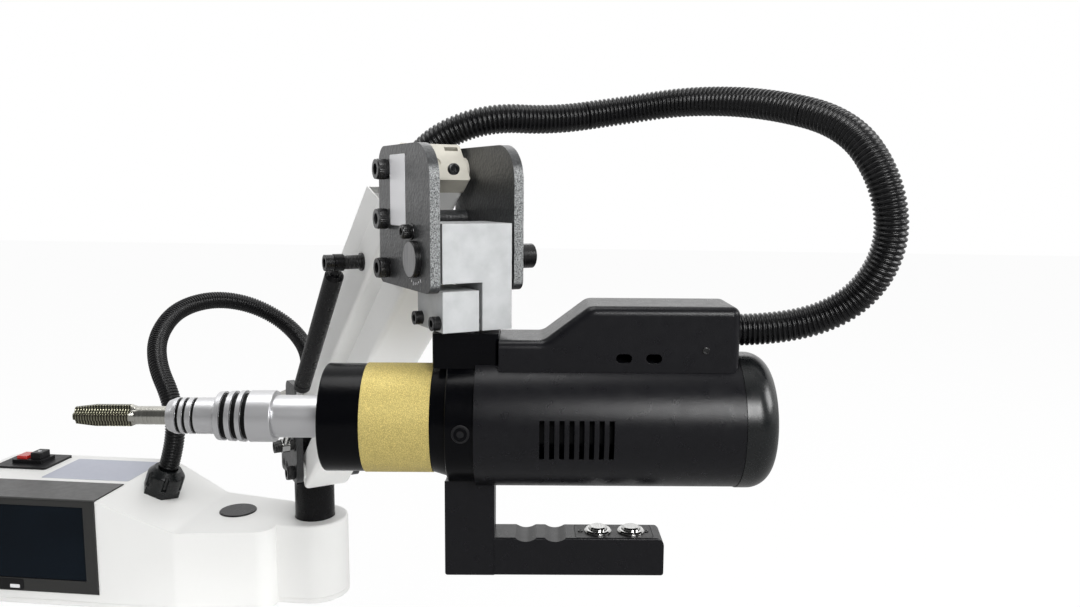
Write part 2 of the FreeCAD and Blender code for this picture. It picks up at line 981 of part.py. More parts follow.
def cover_mouth():
    """Mouth of the hose socket in the cover's back, in the arm's frame. It opens along -X."""
    half = turret_gap / 2
    reach = hose_radius + socket_lip + cover_corner
    return vec(-cover_back - socket_lip, half - reach, turret_low + cover_back_height - reach)


def turret_cover():
    """Sheet cover over the hub, with the socket that the lower hose goes into at its back."""
    half = turret_gap / 2
    front = turret_plate_waist - cover_corner
    low = turret_low + cover_low
    outer = side_prism([
        (-cover_back, low, 0),
        (front, low, 0),
        (front, turret_low + cover_front_height, 0),
        (-cover_back, turret_low + cover_back_height, cover_corner),
    ], -half, half)
    inner = side_prism([
        (-cover_back + cover_wall, low - cut_overrun, 0),
        (front - cover_wall, low - cut_overrun, 0),
        (front - cover_wall, turret_low + cover_front_height - 2 * cover_wall, 0),
        (-cover_back + cover_wall, turret_low + cover_back_height - cover_wall, 0),
    ], -half + cover_wall, half - cover_wall)
    cover = outer.cut(inner)
    cover = cover.cut(block(vec(-hub_back - wall_seat, -half - cut_overrun, low - cut_overrun),
                            vec(turret_plate_waist, half + cut_overrun, turret_low + hub_height + wall_seat)))
    mouth = cover_mouth()
    floor = mouth + vec(socket_depth + socket_lip, 0, 0)
    cover = cover.fuse(rod(hose_radius + socket_lip, floor, mouth))
    cover = cover.cut(rod(hose_radius + wall_seat, mouth + vec(socket_depth, 0, 0), mouth - vec(cut_overrun, 0, 0)))
    return on_arm(cover.cut(rod(hose_bore, floor + vec(cut_overrun, 0, 0), mouth)).removeSplitter())


# Arm links, in the link's frame from its turret pivot

def section(width, height, corner):
    return [
        (-width / 2, -height / 2, corner),
        (width / 2, -height / 2, corner),
        (width / 2, height / 2, corner),
        (-width / 2, height / 2, corner),
    ]


def pivot_rings(x):
    """Raised rings beside a pivot, which keep a link's sides off the plates."""
    reach = turret_gap / 2 - face_clearance
    rings = []
    for side in (-1, 1):
        rings.append(across(pivot_ring_radius, x, 0, side * link_width / 2, side * reach))
    return rings


def pivot_bore(x, clearance):
    return across(pivot_radius + clearance, x, 0, -link_width, link_width)


def link_tube():
    """Box tube with a square heel behind its turret pivot, open at both ends."""
    tube = end_prism(section(link_width, link_height, link_corner), -link_heel, link_length - link_end_inset)
    bore = section(link_width - 2 * link_wall, link_height - 2 * link_wall, 0)
    tube = tube.cut(end_prism(bore, -link_height, link_length + cut_overrun))
    for ring_solid in pivot_rings(0):
        tube = tube.fuse(ring_solid)
    return tube.cut(pivot_bore(0, running_clearance)).removeSplitter()


def gas_anchor_hole():
    """Hole in the upper link's left wall for the gas spring's stud."""
    return across(stud_radius + running_clearance, gas_anchor, 0, -link_width, 0)


def end_block(clearance):
    """Machined block in the head end of a link, with its square face open to view."""
    inner = 2 * link_wall + 2 * running_clearance
    seat = end_prism(section(link_width - inner, link_height - inner, 0), link_length - link_end_block, link_length)
    face = link_length + link_end_reach
    body = end_prism(section(link_width, link_height, link_end_corner), link_length - link_end_inset, face)
    piece = fused([seat, body] + pivot_rings(link_length))
    piece = piece.cut(pivot_bore(link_length, clearance))
    for side in (-1, 1):
        z = side * (link_height / 2 - end_notch_edge - end_notch_height / 2)
        y = side * (link_width / 2 - end_notch_edge - end_notch_width / 2)
        piece = piece.cut(block(
            vec(face - end_notch_depth, y - end_notch_width / 2, z - end_notch_height / 2),
            vec(face + cut_overrun, y + end_notch_width / 2, z + end_notch_height / 2)))
    return piece.cut(rod(end_bolt_radius, vec(face - end_bolt_depth, 0, 0), vec(face + cut_overrun, 0, 0)))


def tray_middle():
    return link_height / 2 + tray_height / 2


def tray_mouth_floor():
    """Place in the link's frame where the hose ends, on the tray's bulkhead."""
    return vec(tray_end - tray_slant - socket_depth, 0, tray_middle())


def cable_tray():
    """Folded sheet channel on the upper link, with a bulkhead that the hose ends on."""
    low = link_height / 2
    half = tray_width / 2
    top = low + tray_height
    tray = block(vec(tray_start, -half, low), vec(tray_end, half, top))
    floor = tray_mouth_floor()
    near = tray_start - cut_overrun
    for start, end in ((near, floor.x - tray_wall), (floor.x, tray_end + cut_overrun)):
        tray = tray.cut(block(vec(start, -half + tray_wall, low + tray_wall),
                              vec(end, half - tray_wall, top - tray_wall)))
    tray = tray.cut(rod(hose_bore, floor - vec(tray_height, 0, 0), floor + vec(tray_height, 0, 0)))
    return tray.cut(side_prism([
        (tray_end - tray_slant, top + cut_overrun, 0),
        (tray_end - tray_slant, top, 0),
        (tray_end, low, 0),
        (tray_end + cut_overrun, low, 0),
        (tray_end + cut_overrun, top + cut_overrun, 0),
    ], -tray_width, tray_width))


# Gas spring, in the arm's frame, between the link's anchor and the turret's stud

def gas_points():
    """Centres of the foot eye on the turret and of the top eye on the upper link."""
    foot = vec(gas_foot_reach, -gas_offset, gas_foot_height)
    angle = math.radians(arm_elevation)
    top = vec(pivot_reach + gas_anchor * math.cos(angle), -gas_offset,
              pivot_low + pivot_spacing + gas_anchor * math.sin(angle))
    return foot, top


def gas_frame():
    """Own frame of the gas spring: X from the foot eye to the top eye."""
    foot, top = gas_points()
    run = top - foot
    angle = math.degrees(math.atan2(run.z, run.x))
    return arm_frame().multiply(FreeCAD.Placement(foot, FreeCAD.Rotation(vec(0, 1, 0), -angle)))


def gas_length():
    foot, top = gas_points()
    return (top - foot).Length


def gas_cylinder():
    """Tube of the gas spring with its grooved mouth, closed end and top eye."""
    length = gas_length()
    shoulder = length - gas_neck_length - gas_eye_radius / 2
    mouth = shoulder - gas_tube_length
    groove = mouth + gas_groove_place
    chamber = shoulder - gas_groove_place
    tube = turned(stepped([
        (mouth, gas_tube_radius - gas_end_bevel / 2, 0),
        (mouth + gas_end_bevel / 2, gas_tube_radius, 0),
        (groove, gas_tube_radius, 0),
        (groove + gas_groove_width / 2, gas_tube_radius - gas_groove_depth, 0),
        (groove + gas_groove_width, gas_tube_radius, 0),
        (shoulder - gas_end_bevel, gas_tube_radius, 0),
        (shoulder, gas_tube_radius - gas_end_bevel, 0),
    ]))
    tube = tube.cut(rod(gas_tube_radius - gas_tube_wall, vec(groove, 0, 0), vec(chamber, 0, 0)))
    tube = tube.cut(rod(gas_rod_radius + running_clearance, vec(mouth - cut_overrun, 0, 0), vec(chamber, 0, 0)))
    neck = rod(gas_neck_radius, vec(shoulder, 0, 0), vec(length, 0, 0))
    eye = across(gas_eye_radius, length, 0, -gas_eye_width / 2, gas_eye_width / 2)
    body = fused([tube, neck, eye])
    return moved(body.cut(across(gas_eye_bore, length, 0, -gas_eye_width, gas_eye_width)), gas_frame())


def gas_rod():
    """Rod with its piston and the foot eye, whose bore is the linkage's open pivot."""
    length = gas_length()
    shoulder = length - gas_neck_length - gas_eye_radius / 2
    mouth = shoulder - gas_tube_length
    piston = mouth + (shoulder - mouth) / 2
    shaft = rod(gas_rod_radius, vec(0, 0, 0), vec(piston, 0, 0))
    head = rod(gas_tube_radius - gas_tube_wall - running_clearance, vec(piston, 0, 0),
               vec(piston + gas_piston_length, 0, 0))
    neck = rod(gas_neck_radius, vec(0, 0, 0), vec(gas_neck_length + gas_eye_radius / 2, 0, 0))
    eye = across(gas_foot_eye_radius, 0, 0, -gas_eye_width / 2, gas_eye_width / 2)
    body = fused([shaft, head, neck, eye])
    return moved(body.cut(across(gas_foot_eye_bore, 0, 0, -gas_eye_width, gas_eye_width)), gas_frame())


def gas_upper_stud():
    _, top = gas_points()
    return on_arm(gas_stud(top.x, top.z, -link_width / 2, -gas_offset, link_wall))


# Head fork

def head_pivot(step):
    """Place of a head pivot, in the arm's frame: 0 is the lower one and 1 the upper."""
    angle = math.radians(arm_elevation)
    return vec(pivot_reach + link_length * math.cos(angle), 0,
               pivot_low + step * pivot_spacing + link_length * math.sin(angle))


def fork_spacer_place():
    low = head_pivot(0)
    return vec(low.x, 0, low.z + pivot_spacing / 2)


def fork_plate(side):
    """Side plate of the head fork, with its large front corner."""
    back = head_pivot(0).x - fork_back
    corners = [
        (back, fork_low, fork_low_round),
        (fork_front, fork_low, fork_low_round),
        (fork_front, fork_high, fork_front_round),
        (back, fork_high, fork_top_round),
    ]
    near = side * turret_gap / 2
    far = near + side * fork_thickness
    plate = side_prism(corners, near, far)
    low, high = min(near, far) - cut_overrun, max(near, far) + cut_overrun
    for place in (head_pivot(0), head_pivot(1)):
        plate = plate.cut(across(pivot_radius + running_clearance, place.x, place.z, low, high))
    spacer = fork_spacer_place()
    plate = plate.cut(across(screw_radius + running_clearance, spacer.x, spacer.z, low, high))
    plate = plate.cut(across(tilt_pin_radius, tilt_reach, tilt_height, low, high))
    if side < 0:
        lock = pin_lock_place()
        plate = plate.cut(across(small_screw_radius, lock.x, lock.z, low, high))
    return on_arm(plate)


def fork_pivot_pins():
    half_outer = turret_gap / 2 + fork_thickness
    places = (head_pivot(0), head_pivot(1))
    return on_arm(group(pivot_pin(place.x, place.z, half_outer) for place in places))


def fork_spacer():
    """Spacer tube between the plates with the through bolt that clamps them."""
    place = fork_spacer_place()
    half = turret_gap / 2
    tube = across(spacer_radius, place.x, place.z, -half, half)
    bolt = socket_screw(vec(place.x, -half - fork_thickness, place.z), (0, 1, 0),
                        2 * half + 2 * fork_thickness + face_clearance)
    return on_arm(fused([tube, bolt]))


def pin_lock_place():
    return vec(tilt_reach - pin_lock_back, 0, tilt_height + pin_lock_rise)


def tilt_pin():
    """Pin that the knuckle tilts on: wide disc head on the left, socket screw on the right."""
    half_outer = turret_gap / 2 + fork_thickness
    pin = across(tilt_pin_radius - running_clearance, tilt_reach, tilt_height, -half_outer, half_outer)
    disc = across(tilt_disc_radius, tilt_reach, tilt_height, -half_outer - tilt_disc_height, -half_outer)
    washer = across(tilt_nut_radius + cut_overrun, tilt_reach, tilt_height, half_outer, half_outer + washer_height)
    head = across(tilt_nut_radius, tilt_reach, tilt_height, half_outer, half_outer + tilt_nut_height)
    socket = across(tilt_socket_radius, tilt_reach, tilt_height,
                    half_outer + tilt_nut_height - tilt_socket_depth, half_outer + tilt_nut_height + cut_overrun)
    return on_arm(fused([pin, disc, washer, head]).cut(socket))


# Knuckle

def knuckle_span():
    half = knuckle_depth / 2
    return head_axis_reach - half, head_axis_reach + half


def swivel_hole(low, high):
    return upright(swivel_radius + running_clearance, head_axis_reach, 0, low, high)


def knuckle_block():
    """Tilting block: full width at the pin, with one leg left beside the clamp block."""
    back, front = knuckle_span()
    half = knuckle_width / 2
    body = block(vec(back, -half, knuckle_step), vec(front, half, knuckle_high))
    leg = block(vec(back, split_offset + split_gap / 2, knuckle_low), vec(front, half, knuckle_step))
    piece = fused([body, leg])
    piece = piece.cut(across(tilt_pin_radius + running_clearance, tilt_reach, tilt_height, -half - cut_overrun,
                             half + cut_overrun))
    piece = piece.cut(swivel_hole(knuckle_low - cut_overrun, stub_top() + face_clearance))
    for place in clamp_screw_places():
        piece = piece.cut(across(small_screw_radius + running_clearance, place.x, place.z, 0, half - small_head_height))
    return on_arm(piece)


def stub_top():
    return knuckle_low + stub_reach


def clamp_screw_places():
    z = knuckle_low + clamp_screw_rise
    return tuple(vec(head_axis_reach + side * clamp_screw_spread, 0, z) for side in (-1, 1))


def clamp_block():
    """Half clamp that grips the swivel stub against the knuckle's leg."""
    back, front = knuckle_span()
    half = knuckle_width / 2
    piece = block(vec(back, -half, knuckle_low),
                  vec(front, split_offset - split_gap / 2, knuckle_step - clamp_gap))
    piece = piece.cut(swivel_hole(knuckle_low - cut_overrun, stub_top() + face_clearance))
    for place in clamp_screw_places():
        piece = piece.cut(across(small_screw_radius + running_clearance, place.x, place.z, -half - cut_overrun,
                                 split_offset))
    return on_arm(piece)


def clamp_screws():
    half = knuckle_width / 2
    screws = []
    for place in clamp_screw_places():
        screws.append(socket_screw(
            vec(place.x, -half, place.z), (0, 1, 0), 2 * half - small_head_height * 2,
            small_screw_radius, small_head_radius + face_clearance, small_head_height + face_clearance,
            small_socket_radius, small_socket_depth))
    return on_arm(group(screws))


# Head pieces, in the motor's frame

def swivel_stub():
    """Steel stub that the head swivels on, rising from the mount block into the clamp."""
    low = mount_high - hump_wall * 3
    return on_head(upright_turned([
        (low, swivel_radius, 0),
        (stub_top(), swivel_radius, face_clearance),
    ]))


def mount_block():
    """Block between the swivel and the motor's collar, hollowed to sit on the collar."""
    low = spindle_height + collar_radius / 2
    corners = [
        (mount_front, -mount_half_width, mount_corner),
        (mount_back, -mount_half_width, mount_corner),
        (mount_back, mount_half_width, mount_corner),
        (mount_front, mount_half_width, mount_corner),
    ]
    piece = plan_prism(corners, low, mount_high)
    axis_start = vec(mount_front - cut_overrun, 0, spindle_height)
    axis_end = vec(mount_back + cut_overrun, 0, spindle_height)
    piece = piece.cut(rod(collar_radius, axis_start, axis_end))
    shoulder = vec(collar_back, 0, spindle_height)
    piece = piece.cut(rod(motor_radius, shoulder, axis_end))
    piece = piece.cut(upright(swivel_radius, 0, 0, mount_high - hump_wall * 3, mount_high + cut_overrun))
    return on_head(piece)


def on_axis(x):
    return vec(x, 0, spindle_height)


def motor_collar():
    """Clamp collar round the front of the motor, with its pad and screw."""
    collar = turned([
        (collar_front, core_radius, 0),
        (collar_front, collar_radius, ring_edge),
        (collar_back, collar_radius, 0),
        (collar_back, core_radius, 0),
    ], on_axis(0))
    pad_x = (collar_front + collar_back) / 2 + ring_edge
    near = -collar_radius - cut_overrun
    screw = across(collar_screw_radius, pad_x, spindle_height, near, -collar_radius + cut_overrun)
    screw = screw.cut(across(small_socket_radius, pad_x, spindle_height, near - cut_overrun, -collar_radius))
    return on_head(collar.fuse(screw).removeSplitter())


def motor_shell():
    """Round plastic shell of the motor, with a row of vents on each side."""
    shell = turned([
        (collar_back, motor_radius - motor_wall, 0),
        (collar_back, motor_radius, 0),
        (motor_back, motor_radius, 0),
        (motor_back, motor_radius - motor_wall, 0),
    ], on_axis(0))
    for side in (-1, 1):
        near = side * (motor_radius - vent_depth)
        far = side * (motor_radius + cut_overrun)
        for step in range(vent_count):
            x = vent_first + vent_pitch * step
            shell = shell.cut(block(
                vec(x - vent_width / 2, min(near, far), spindle_height + vent_low),
                vec(x + vent_width / 2, max(near, far), spindle_height + vent_high)))
    window = block(vec(hump_rise_end, -hose_bore, spindle_height), vec(hump_back - hump_skin, hose_bore, hump_high))
    return on_head(shell.cut(window))


def motor_cap():
    """Domed rear cover of the motor."""
    return on_head(turned([
        (motor_back, 0, 0),
        (motor_back, motor_radius + cap_lip, 0),
        (cap_back, motor_radius + cap_lip, cap_round),
        (cap_back, 0, 0),
    ], on_axis(0)))


def motor_core():
    """Stator can inside the shell, with end spigots that carry it in the collar."""
    return on_head(turned(stepped([
        (flange_front, core_radius - ring_edge, 0),
        (collar_front, core_radius - ring_edge, 0),
        (collar_front, core_radius, 0),
        (core_front, core_radius, 0),
        (core_front, core_radius + motor_wall, 0),
        (core_back, core_radius + motor_wall, ring_edge),
    ]), on_axis(0)))


def gearbox_flange():
    """Conical flange between the gearbox and the collar."""
    return on_head(turned([
        (flange_front, core_radius - ring_edge, 0),
        (flange_front, gear_radius, 0),
        (collar_front, flange_radius, 0),
        (collar_front, core_radius - ring_edge, 0),
    ], on_axis(0)))


def gearbox_ring():
    return on_head(turned(stepped([
        (gold_front, gear_radius + cap_lip, 0),
        (flange_front, gear_radius + cap_lip, 0),
    ]), on_axis(0)))


def gearbox_nose():
    """Front ring of the gearbox, with the bearing bore for the spindle."""
    bore = spindle_radius + running_clearance
    return on_head(turned([
        (black_front, bore, 0),
        (black_front, gear_radius, ring_edge),
        (gold_front, gear_radius, 0),
        (gold_front, bore, 0),
    ], on_axis(0)))


def hump_profile(inset, low):
    """Side outline of the cable hump: neck, rise, flat top and rounded back."""
    top = hump_high - inset
    neck = hump_neck_high - inset
    rise = hump_rise_end - hump_rise_start
    return [
        (hump_front + (inset and -cut_overrun), low, 0),
        (hump_back - inset, low, 0),
        (hump_back - inset, top, hump_back_round),
        (hump_rise_end + inset / 2, top, rise / 3),
        (hump_rise_start + inset / 2, neck, rise / 3),
        (hump_front + (inset and -cut_overrun), neck, 0),
    ]


def motor_hump():
    """Cable cover along the top of the motor, seated on the shell, with the hose's socket at its back."""
    low = spindle_height + math.sqrt(motor_radius ** 2 - hump_half_width ** 2)
    half = hump_half_width
    body = side_prism(hump_profile(0, low), -half, half)
    side_edges = [e for e in body.Edges if abs(abs(e.BoundBox.YMin) - half) < running_clearance]
    top_edges = [e for e in side_edges if e.BoundBox.YLength < running_clearance
                 and e.BoundBox.ZMin > low + wall_seat and e.BoundBox.XMax > hump_front + wall_seat]
    body = body.makeFillet(hump_side_round, top_edges)
    inner = side_prism(hump_profile(hump_wall, low - motor_radius), -half + hump_wall, half - hump_wall)
    body = body.cut(inner)
    body = body.cut(rod(motor_radius, on_axis(hump_front - cut_overrun), on_axis(hump_back + cut_overrun)))
    centre = vec(hump_back, 0, hump_hose_height())
    plug = rod(hose_radius + socket_lip, centre - vec(socket_depth + socket_lip, 0, 0), centre)
    body = body.fuse(plug).removeSplitter()
    body = body.cut(rod(hose_radius + wall_seat, centre - vec(socket_depth, 0, 0), centre + vec(cut_overrun, 0, 0)))
    body = body.cut(rod(hose_bore, centre - vec(hump_back / 2, 0, 0), centre + vec(cut_overrun, 0, 0)))
    for step in range(2):
        x = hump_slot_x + hump_slot_pitch * step
        corner = hump_slot_height / 2 - running_clearance
        body = body.cut(side_prism([
            (x - hump_slot_length / 2, hump_slot_z - hump_slot_height / 2, corner),
            (x + hump_slot_length / 2, hump_slot_z - hump_slot_height / 2, corner),
            (x + hump_slot_length / 2, hump_slot_z + hump_slot_height / 2, corner),
            (x - hump_slot_length / 2, hump_slot_z + hump_slot_height / 2, corner),
        ], -half - cut_overrun, -half + hump_wall + cut_overrun))
    return on_head(body)


def hump_hose_height():
    return (hump_high + spindle_height + motor_radius) / 2 - hump_wall / 2


def handle_bracket():
    """Upright that hangs the handle from the collar."""
    top = spindle_height
    corners = [
        (handle_front, handle_low, handle_edge),
        (handle_back, handle_low, 0),
        (handle_back, top, 0),
        (handle_front, top, 0),
    ]
    piece = side_prism(corners, -handle_half_width, handle_half_width)
    piece = piece.cut(rod(collar_radius, on_axis(handle_front - cut_overrun), on_axis(handle_back + cut_overrun)))
    piece = piece.cut(rod(motor_radius, on_axis(collar_back), on_axis(handle_back + cut_overrun)))
    keep = block(vec(handle_front, -handle_half_width, 0),
                 vec(handle_back, handle_half_width, spindle_height - collar_radius / 2))
    return on_head(piece.common(keep))


def handle_grip():
    """Grip with two finger hollows, a rounded end and a seat for the button panel."""
    profile = [
        (handle_back, handle_low, 0),
        (grip_back, handle_low, grip_end_low_round),
        (grip_back, grip_high, grip_end_round),
        (handle_back, grip_high, 0),
    ]
    corners = [
        (-grip_half_width, handle_low, grip_edge),
        (grip_half_width, handle_low, grip_edge),
        (grip_half_width, grip_high, grip_edge),
        (-grip_half_width, grip_high, grip_edge),
    ]
    grip = side_prism(profile, -grip_half_width, grip_half_width)
    grip = grip.common(prism(corners, lambda p: vec(handle_back, p.x, p.y), vec(grip_back - handle_back, 0, 0)))
    for step in range(finger_count):
        x = finger_first + finger_pitch * step
        z = grip_high + finger_radius - finger_depth
        grip = grip.cut(across(finger_radius, x, z, -grip_half_width - cut_overrun, grip_half_width + cut_overrun))
    grip = grip.cut(button_panel_pad(panel_seat, grip_high - panel_rise, grip_high + cut_overrun))
    for x in push_places():
        grip = grip.cut(upright(push_stem_radius + wall_seat, x, 0, grip_high - push_depth, grip_high + cut_overrun))
    return on_head(grip)


def push_places():
    return tuple(push_first + push_pitch * step for step in range(2))


def button_panel_pad(margin, low, high):
    """Outline of the button panel, grown by a margin, between two heights."""
    length = panel_back - panel_front + 2 * margin
    width = 2 * panel_half_width + 2 * margin
    return rounded_pad((panel_front + panel_back) / 2, 0, length, width, low, high, small_screw_radius)


def button_panel():
    """Flush panel in the grip that holds both push buttons."""
    panel = button_panel_pad(0, grip_high - panel_rise, grip_high)
    for x in push_places():
        panel = panel.cut(upright(push_stem_radius + wall_seat, x, 0, 0, grip_high + cut_overrun))
    return on_head(panel)


def push_bezels():
    """Metal bezels of the push buttons, with their threaded bodies down in the grip."""
    bezels = []
    top = grip_high + push_bezel_height
    for x in push_places():
        bezel = upright_turned([
            (grip_high - push_depth + face_clearance, push_stem_radius, 0),
            (grip_high, push_stem_radius, 0),
            (grip_high, push_bezel_radius, 0),
            (top - push_bezel_bevel, push_bezel_radius, 0),
            (top, push_bezel_radius - push_bezel_bevel, 0),
        ])
        bezel = bezel.cut(upright(push_radius, 0, 0, grip_high - push_travel - face_clearance, top + cut_overrun))
        bezel.translate(vec(x, 0, 0))
        bezels.append(bezel)
    return on_head(group(bezels))


def push_button(x):
    radius = push_radius - push_clearance
    button = upright_turned([
        (grip_high, radius, 0),
        (grip_high + push_bezel_height + push_proud - push_bezel_bevel, radius, 0),
        (grip_high + push_bezel_height + push_proud, radius - push_bezel_bevel, 0),
    ])
    button.translate(vec(x, 0, 0))
    return on_head(button)


# Spindle group

def spindle():
    """Output spindle: bearing journal, nose and the bore that takes the adaptor."""
    stations = [
        (nose_front_x, sleeve_neck_radius, 0),
        (nose_front_x, spindle_radius, 0),
        (gold_front - face_clearance, spindle_radius, 0),
    ]
    body = turned(stepped(stations), on_axis(0))
    neck = rod(sleeve_neck_radius, on_axis(sleeve_front + sleeve_travel + face_clearance), on_axis(nose_front_x))
    body = fused([body, neck])
    body = body.cut(rod(adaptor_shank_radius + running_clearance, on_axis(sleeve_front - cut_overrun),
                        on_axis(adaptor_shank_back + face_clearance)))
    return on_head(body)


def chuck_sleeve():
    """Quick-change sleeve: tapered front, brushed back and four turned grooves."""
    length = sleeve_back - sleeve_front
    bore = sleeve_neck_radius + running_clearance
    body = turned([
        (sleeve_front, bore, 0),
        (sleeve_front, sleeve_taper_radius, sleeve_edge),
        (sleeve_front + sleeve_taper_length, sleeve_radius, 0),
        (sleeve_back - face_clearance * 5, sleeve_radius, sleeve_edge),
        (sleeve_back - face_clearance * 5, bore, 0),
    ], on_axis(0))
    for share in sleeve_groove_share:
        x = sleeve_front + share * length
        groove = ring(sleeve_radius + cut_overrun, sleeve_taper_radius - sleeve_groove_depth,
                      on_axis(x - sleeve_groove_length / 2), on_axis(x + sleeve_groove_length / 2))
        body = body.cut(groove)
    return on_head(body)


def tap_adaptor():
    """Adaptor that carries the tap, with its grooved head and the shank that locks in the spindle."""
    head_back = sleeve_front - face_clearance
    length = head_back - adaptor_front
    body = turned(stepped([
        (adaptor_front, adaptor_nose_radius, 0),
        (adaptor_front + adaptor_nose, adaptor_radius, 0),
        (head_back, adaptor_radius, 0),
        (head_back, adaptor_shank_radius, 0),
        (adaptor_shank_back, adaptor_shank_radius, sleeve_edge),
    ]), on_axis(0))
    for share in adaptor_groove_share:
        x = adaptor_front + share * length
        body = body.cut(ring(adaptor_radius + cut_overrun, adaptor_radius - adaptor_groove_depth,
                             on_axis(x - adaptor_groove_length / 2), on_axis(x + adaptor_groove_length / 2)))
    body = body.cut(rod(tap_shank_radius, on_axis(adaptor_front - cut_overrun), on_axis(tap_shank_back)))
    return on_head(body)


def tap():
    """Tap: shank, thread cylinder with a chamfered lead, and straight flutes."""
    body = turned(stepped([
        (tap_tip, tap_tip_radius, 0),
        (tap_tip + tap_lead, tap_thread_radius, 0),
        (tap_thread_back, tap_thread_radius, 0),
        (tap_thread_back + tap_neck, tap_shank_radius, 0),
        (tap_shank_back, tap_shank_radius, 0),
    ]), on_axis(0))
    for step in range(tap_flute_count):
        angle = math.radians(45 + 360 / tap_flute_count * step)
        offset = vec(0, tap_flute_offset * math.cos(angle), tap_flute_offset * math.sin(angle))
        flute = rod(tap_flute_radius, on_axis(tap_tip - cut_overrun) + offset, on_axis(tap_thread_back) + offset)
        runout = Part.makeCone(tap_flute_radius, 0, tap_runout, on_axis(tap_thread_back) + offset, vec(1, 0, 0))
        body = body.cut(flute.fuse(runout))
    return on_head(body)


# Ribbed hoses

def hose_path(points):
    """Edges along a route: straight runs joined by tangent arcs, as large as the runs allow."""
    edges = []
    start = points[0]
    for before, corner, after in zip(points, points[1:], points[2:]):
        back = before - corner
        ahead = after - corner
        half = back.getAngle(ahead) / 2
        reach = bend_share * min(back.Length, ahead.Length)
        radius = reach * math.tan(half)
        back.normalize()
        ahead.normalize()
        inward = (back + ahead).normalize() * (radius / math.sin(half) - radius)
        first = corner + back * reach
        last = corner + ahead * reach
        edges.append(Part.LineSegment(start, first).toShape())
        edges.append(Part.Arc(first, corner + inward, last).toShape())
        print("bend radius", round(radius), "of", hose_radius * 2)
        start = last
    edges.append(Part.LineSegment(start, points[-1]).toShape())
    return edges


def place_along(edges, distance):
    """Point and direction at a distance along the edges."""
    for edge in edges:
        if distance <= edge.Length or edge is edges[-1]:
            parameter = edge.getParameterByLength(min(distance, edge.Length))
            return edge.valueAt(parameter), edge.tangentAt(parameter)
        distance -= edge.Length


def rib_stations(length, plain_start, plain_end):
    """Distances and radii of the hose's outline: plain ends with whole ribs between them."""
    ribbed = length - plain_start - plain_end
    count = int(ribbed / rib_pitch)
    pitch = ribbed / count
    valley = hose_radius - rib_depth
    stations = [(0, hose_radius)] if plain_start else []
    for step in range(count):
        start = plain_start + pitch * step
        crest = start + pitch * rib_flank_share
        stations.append((start, valley))
        stations.append((crest, hose_radius))
        stations.append((crest + pitch * rib_crest_share, hose_radius))
        stations.append((start + pitch * (rib_crest_share + 2 * rib_flank_share), valley))
    stations.append((length - plain_end, valley))
    if plain_start:
        stations.insert(1, (plain_start - rib_depth, hose_radius))
    if plain_end:
        stations.append((length - plain_end + rib_depth, hose_radius))
        stations.append((length, hose_radius))
    return stations


def hose(points, plain_start, plain_end):
    """Ribbed hose with its bore: a ruled loft through circles whose X axis stays steady."""
    edges = hose_path(points)
    length = sum(edge.Length for edge in edges)
    circles = []
    across_axis = vec(0, 0, 1).cross(points[1] - points[0])
    for distance, radius in rib_stations(length, plain_start, plain_end):
        place, tangent = place_along(edges, distance)
        across_axis = across_axis - tangent * across_axis.dot(tangent)
        across_axis.normalize()
        turn = FreeCAD.Rotation(across_axis, tangent.cross(across_axis), tangent, "ZXY")
        circle = Part.Wire(Part.makeCircle(radius))
        circle.Placement = FreeCAD.Placement(place, turn)
        circles.append(circle)
    outside = Part.makeLoft(circles, True, True)
    entry = Part.Wire(Part.makeCircle(hose_bore, points[0], points[1] - points[0]))
    bore = Part.Wire(edges).makePipeShell([entry], True, False)
    plain_volume = math.pi * (hose_radius ** 2 - hose_bore ** 2) * length
    ribbed = outside.cut(bore)
    print("hose length", round(length), "volume over plain tube", round(ribbed.Volume / plain_volume, 3))
    return ribbed


def lower_hose():
    """Hose from the base's gland to the back of the turret."""
    foot = gland_frame().multVec(vec(0, 0, gland_top() - socket_depth))
    above = gland_frame().multVec(vec(0, 0, gland_top() - socket_depth + hose_lead))
    mouth = cover_mouth()
    end = arm_frame().multVec(mouth + vec(socket_depth, 0, 0))
    before = arm_frame().multVec(mouth + vec(socket_depth - hose_lead, 0, 0))
    return hose([foot, above] + [vec(*place) for place in lower_route] + [before, end], plain_end, plain_end)


def upper_hose_rear():
    """Stretch of the upper hose that leaves the arm's tray."""
    placing = arm_frame().multiply(link_frame(pivot_low + pivot_spacing))
    floor = tray_mouth_floor()
    start = placing.multVec(floor)
    above = placing.multVec(floor + vec(hose_lead, 0, 0))
    return hose([start, above] + [vec(*place) for place in upper_rear_route], plain_end, 0)


def upper_hose_middle():
    return hose([vec(*place) for place in upper_middle_route], 0, 0)


def upper_hose_front():
    """Stretch of the upper hose that goes into the motor's cable hump."""
    centre = vec(hump_back - socket_depth, 0, hump_hose_height())
    end = head_frame().multVec(centre)
    before = head_frame().multVec(centre + vec(hose_lead, 0, 0))
    return hose([vec(*place) for place in upper_front_route] + [before, end], 0, plain_end)


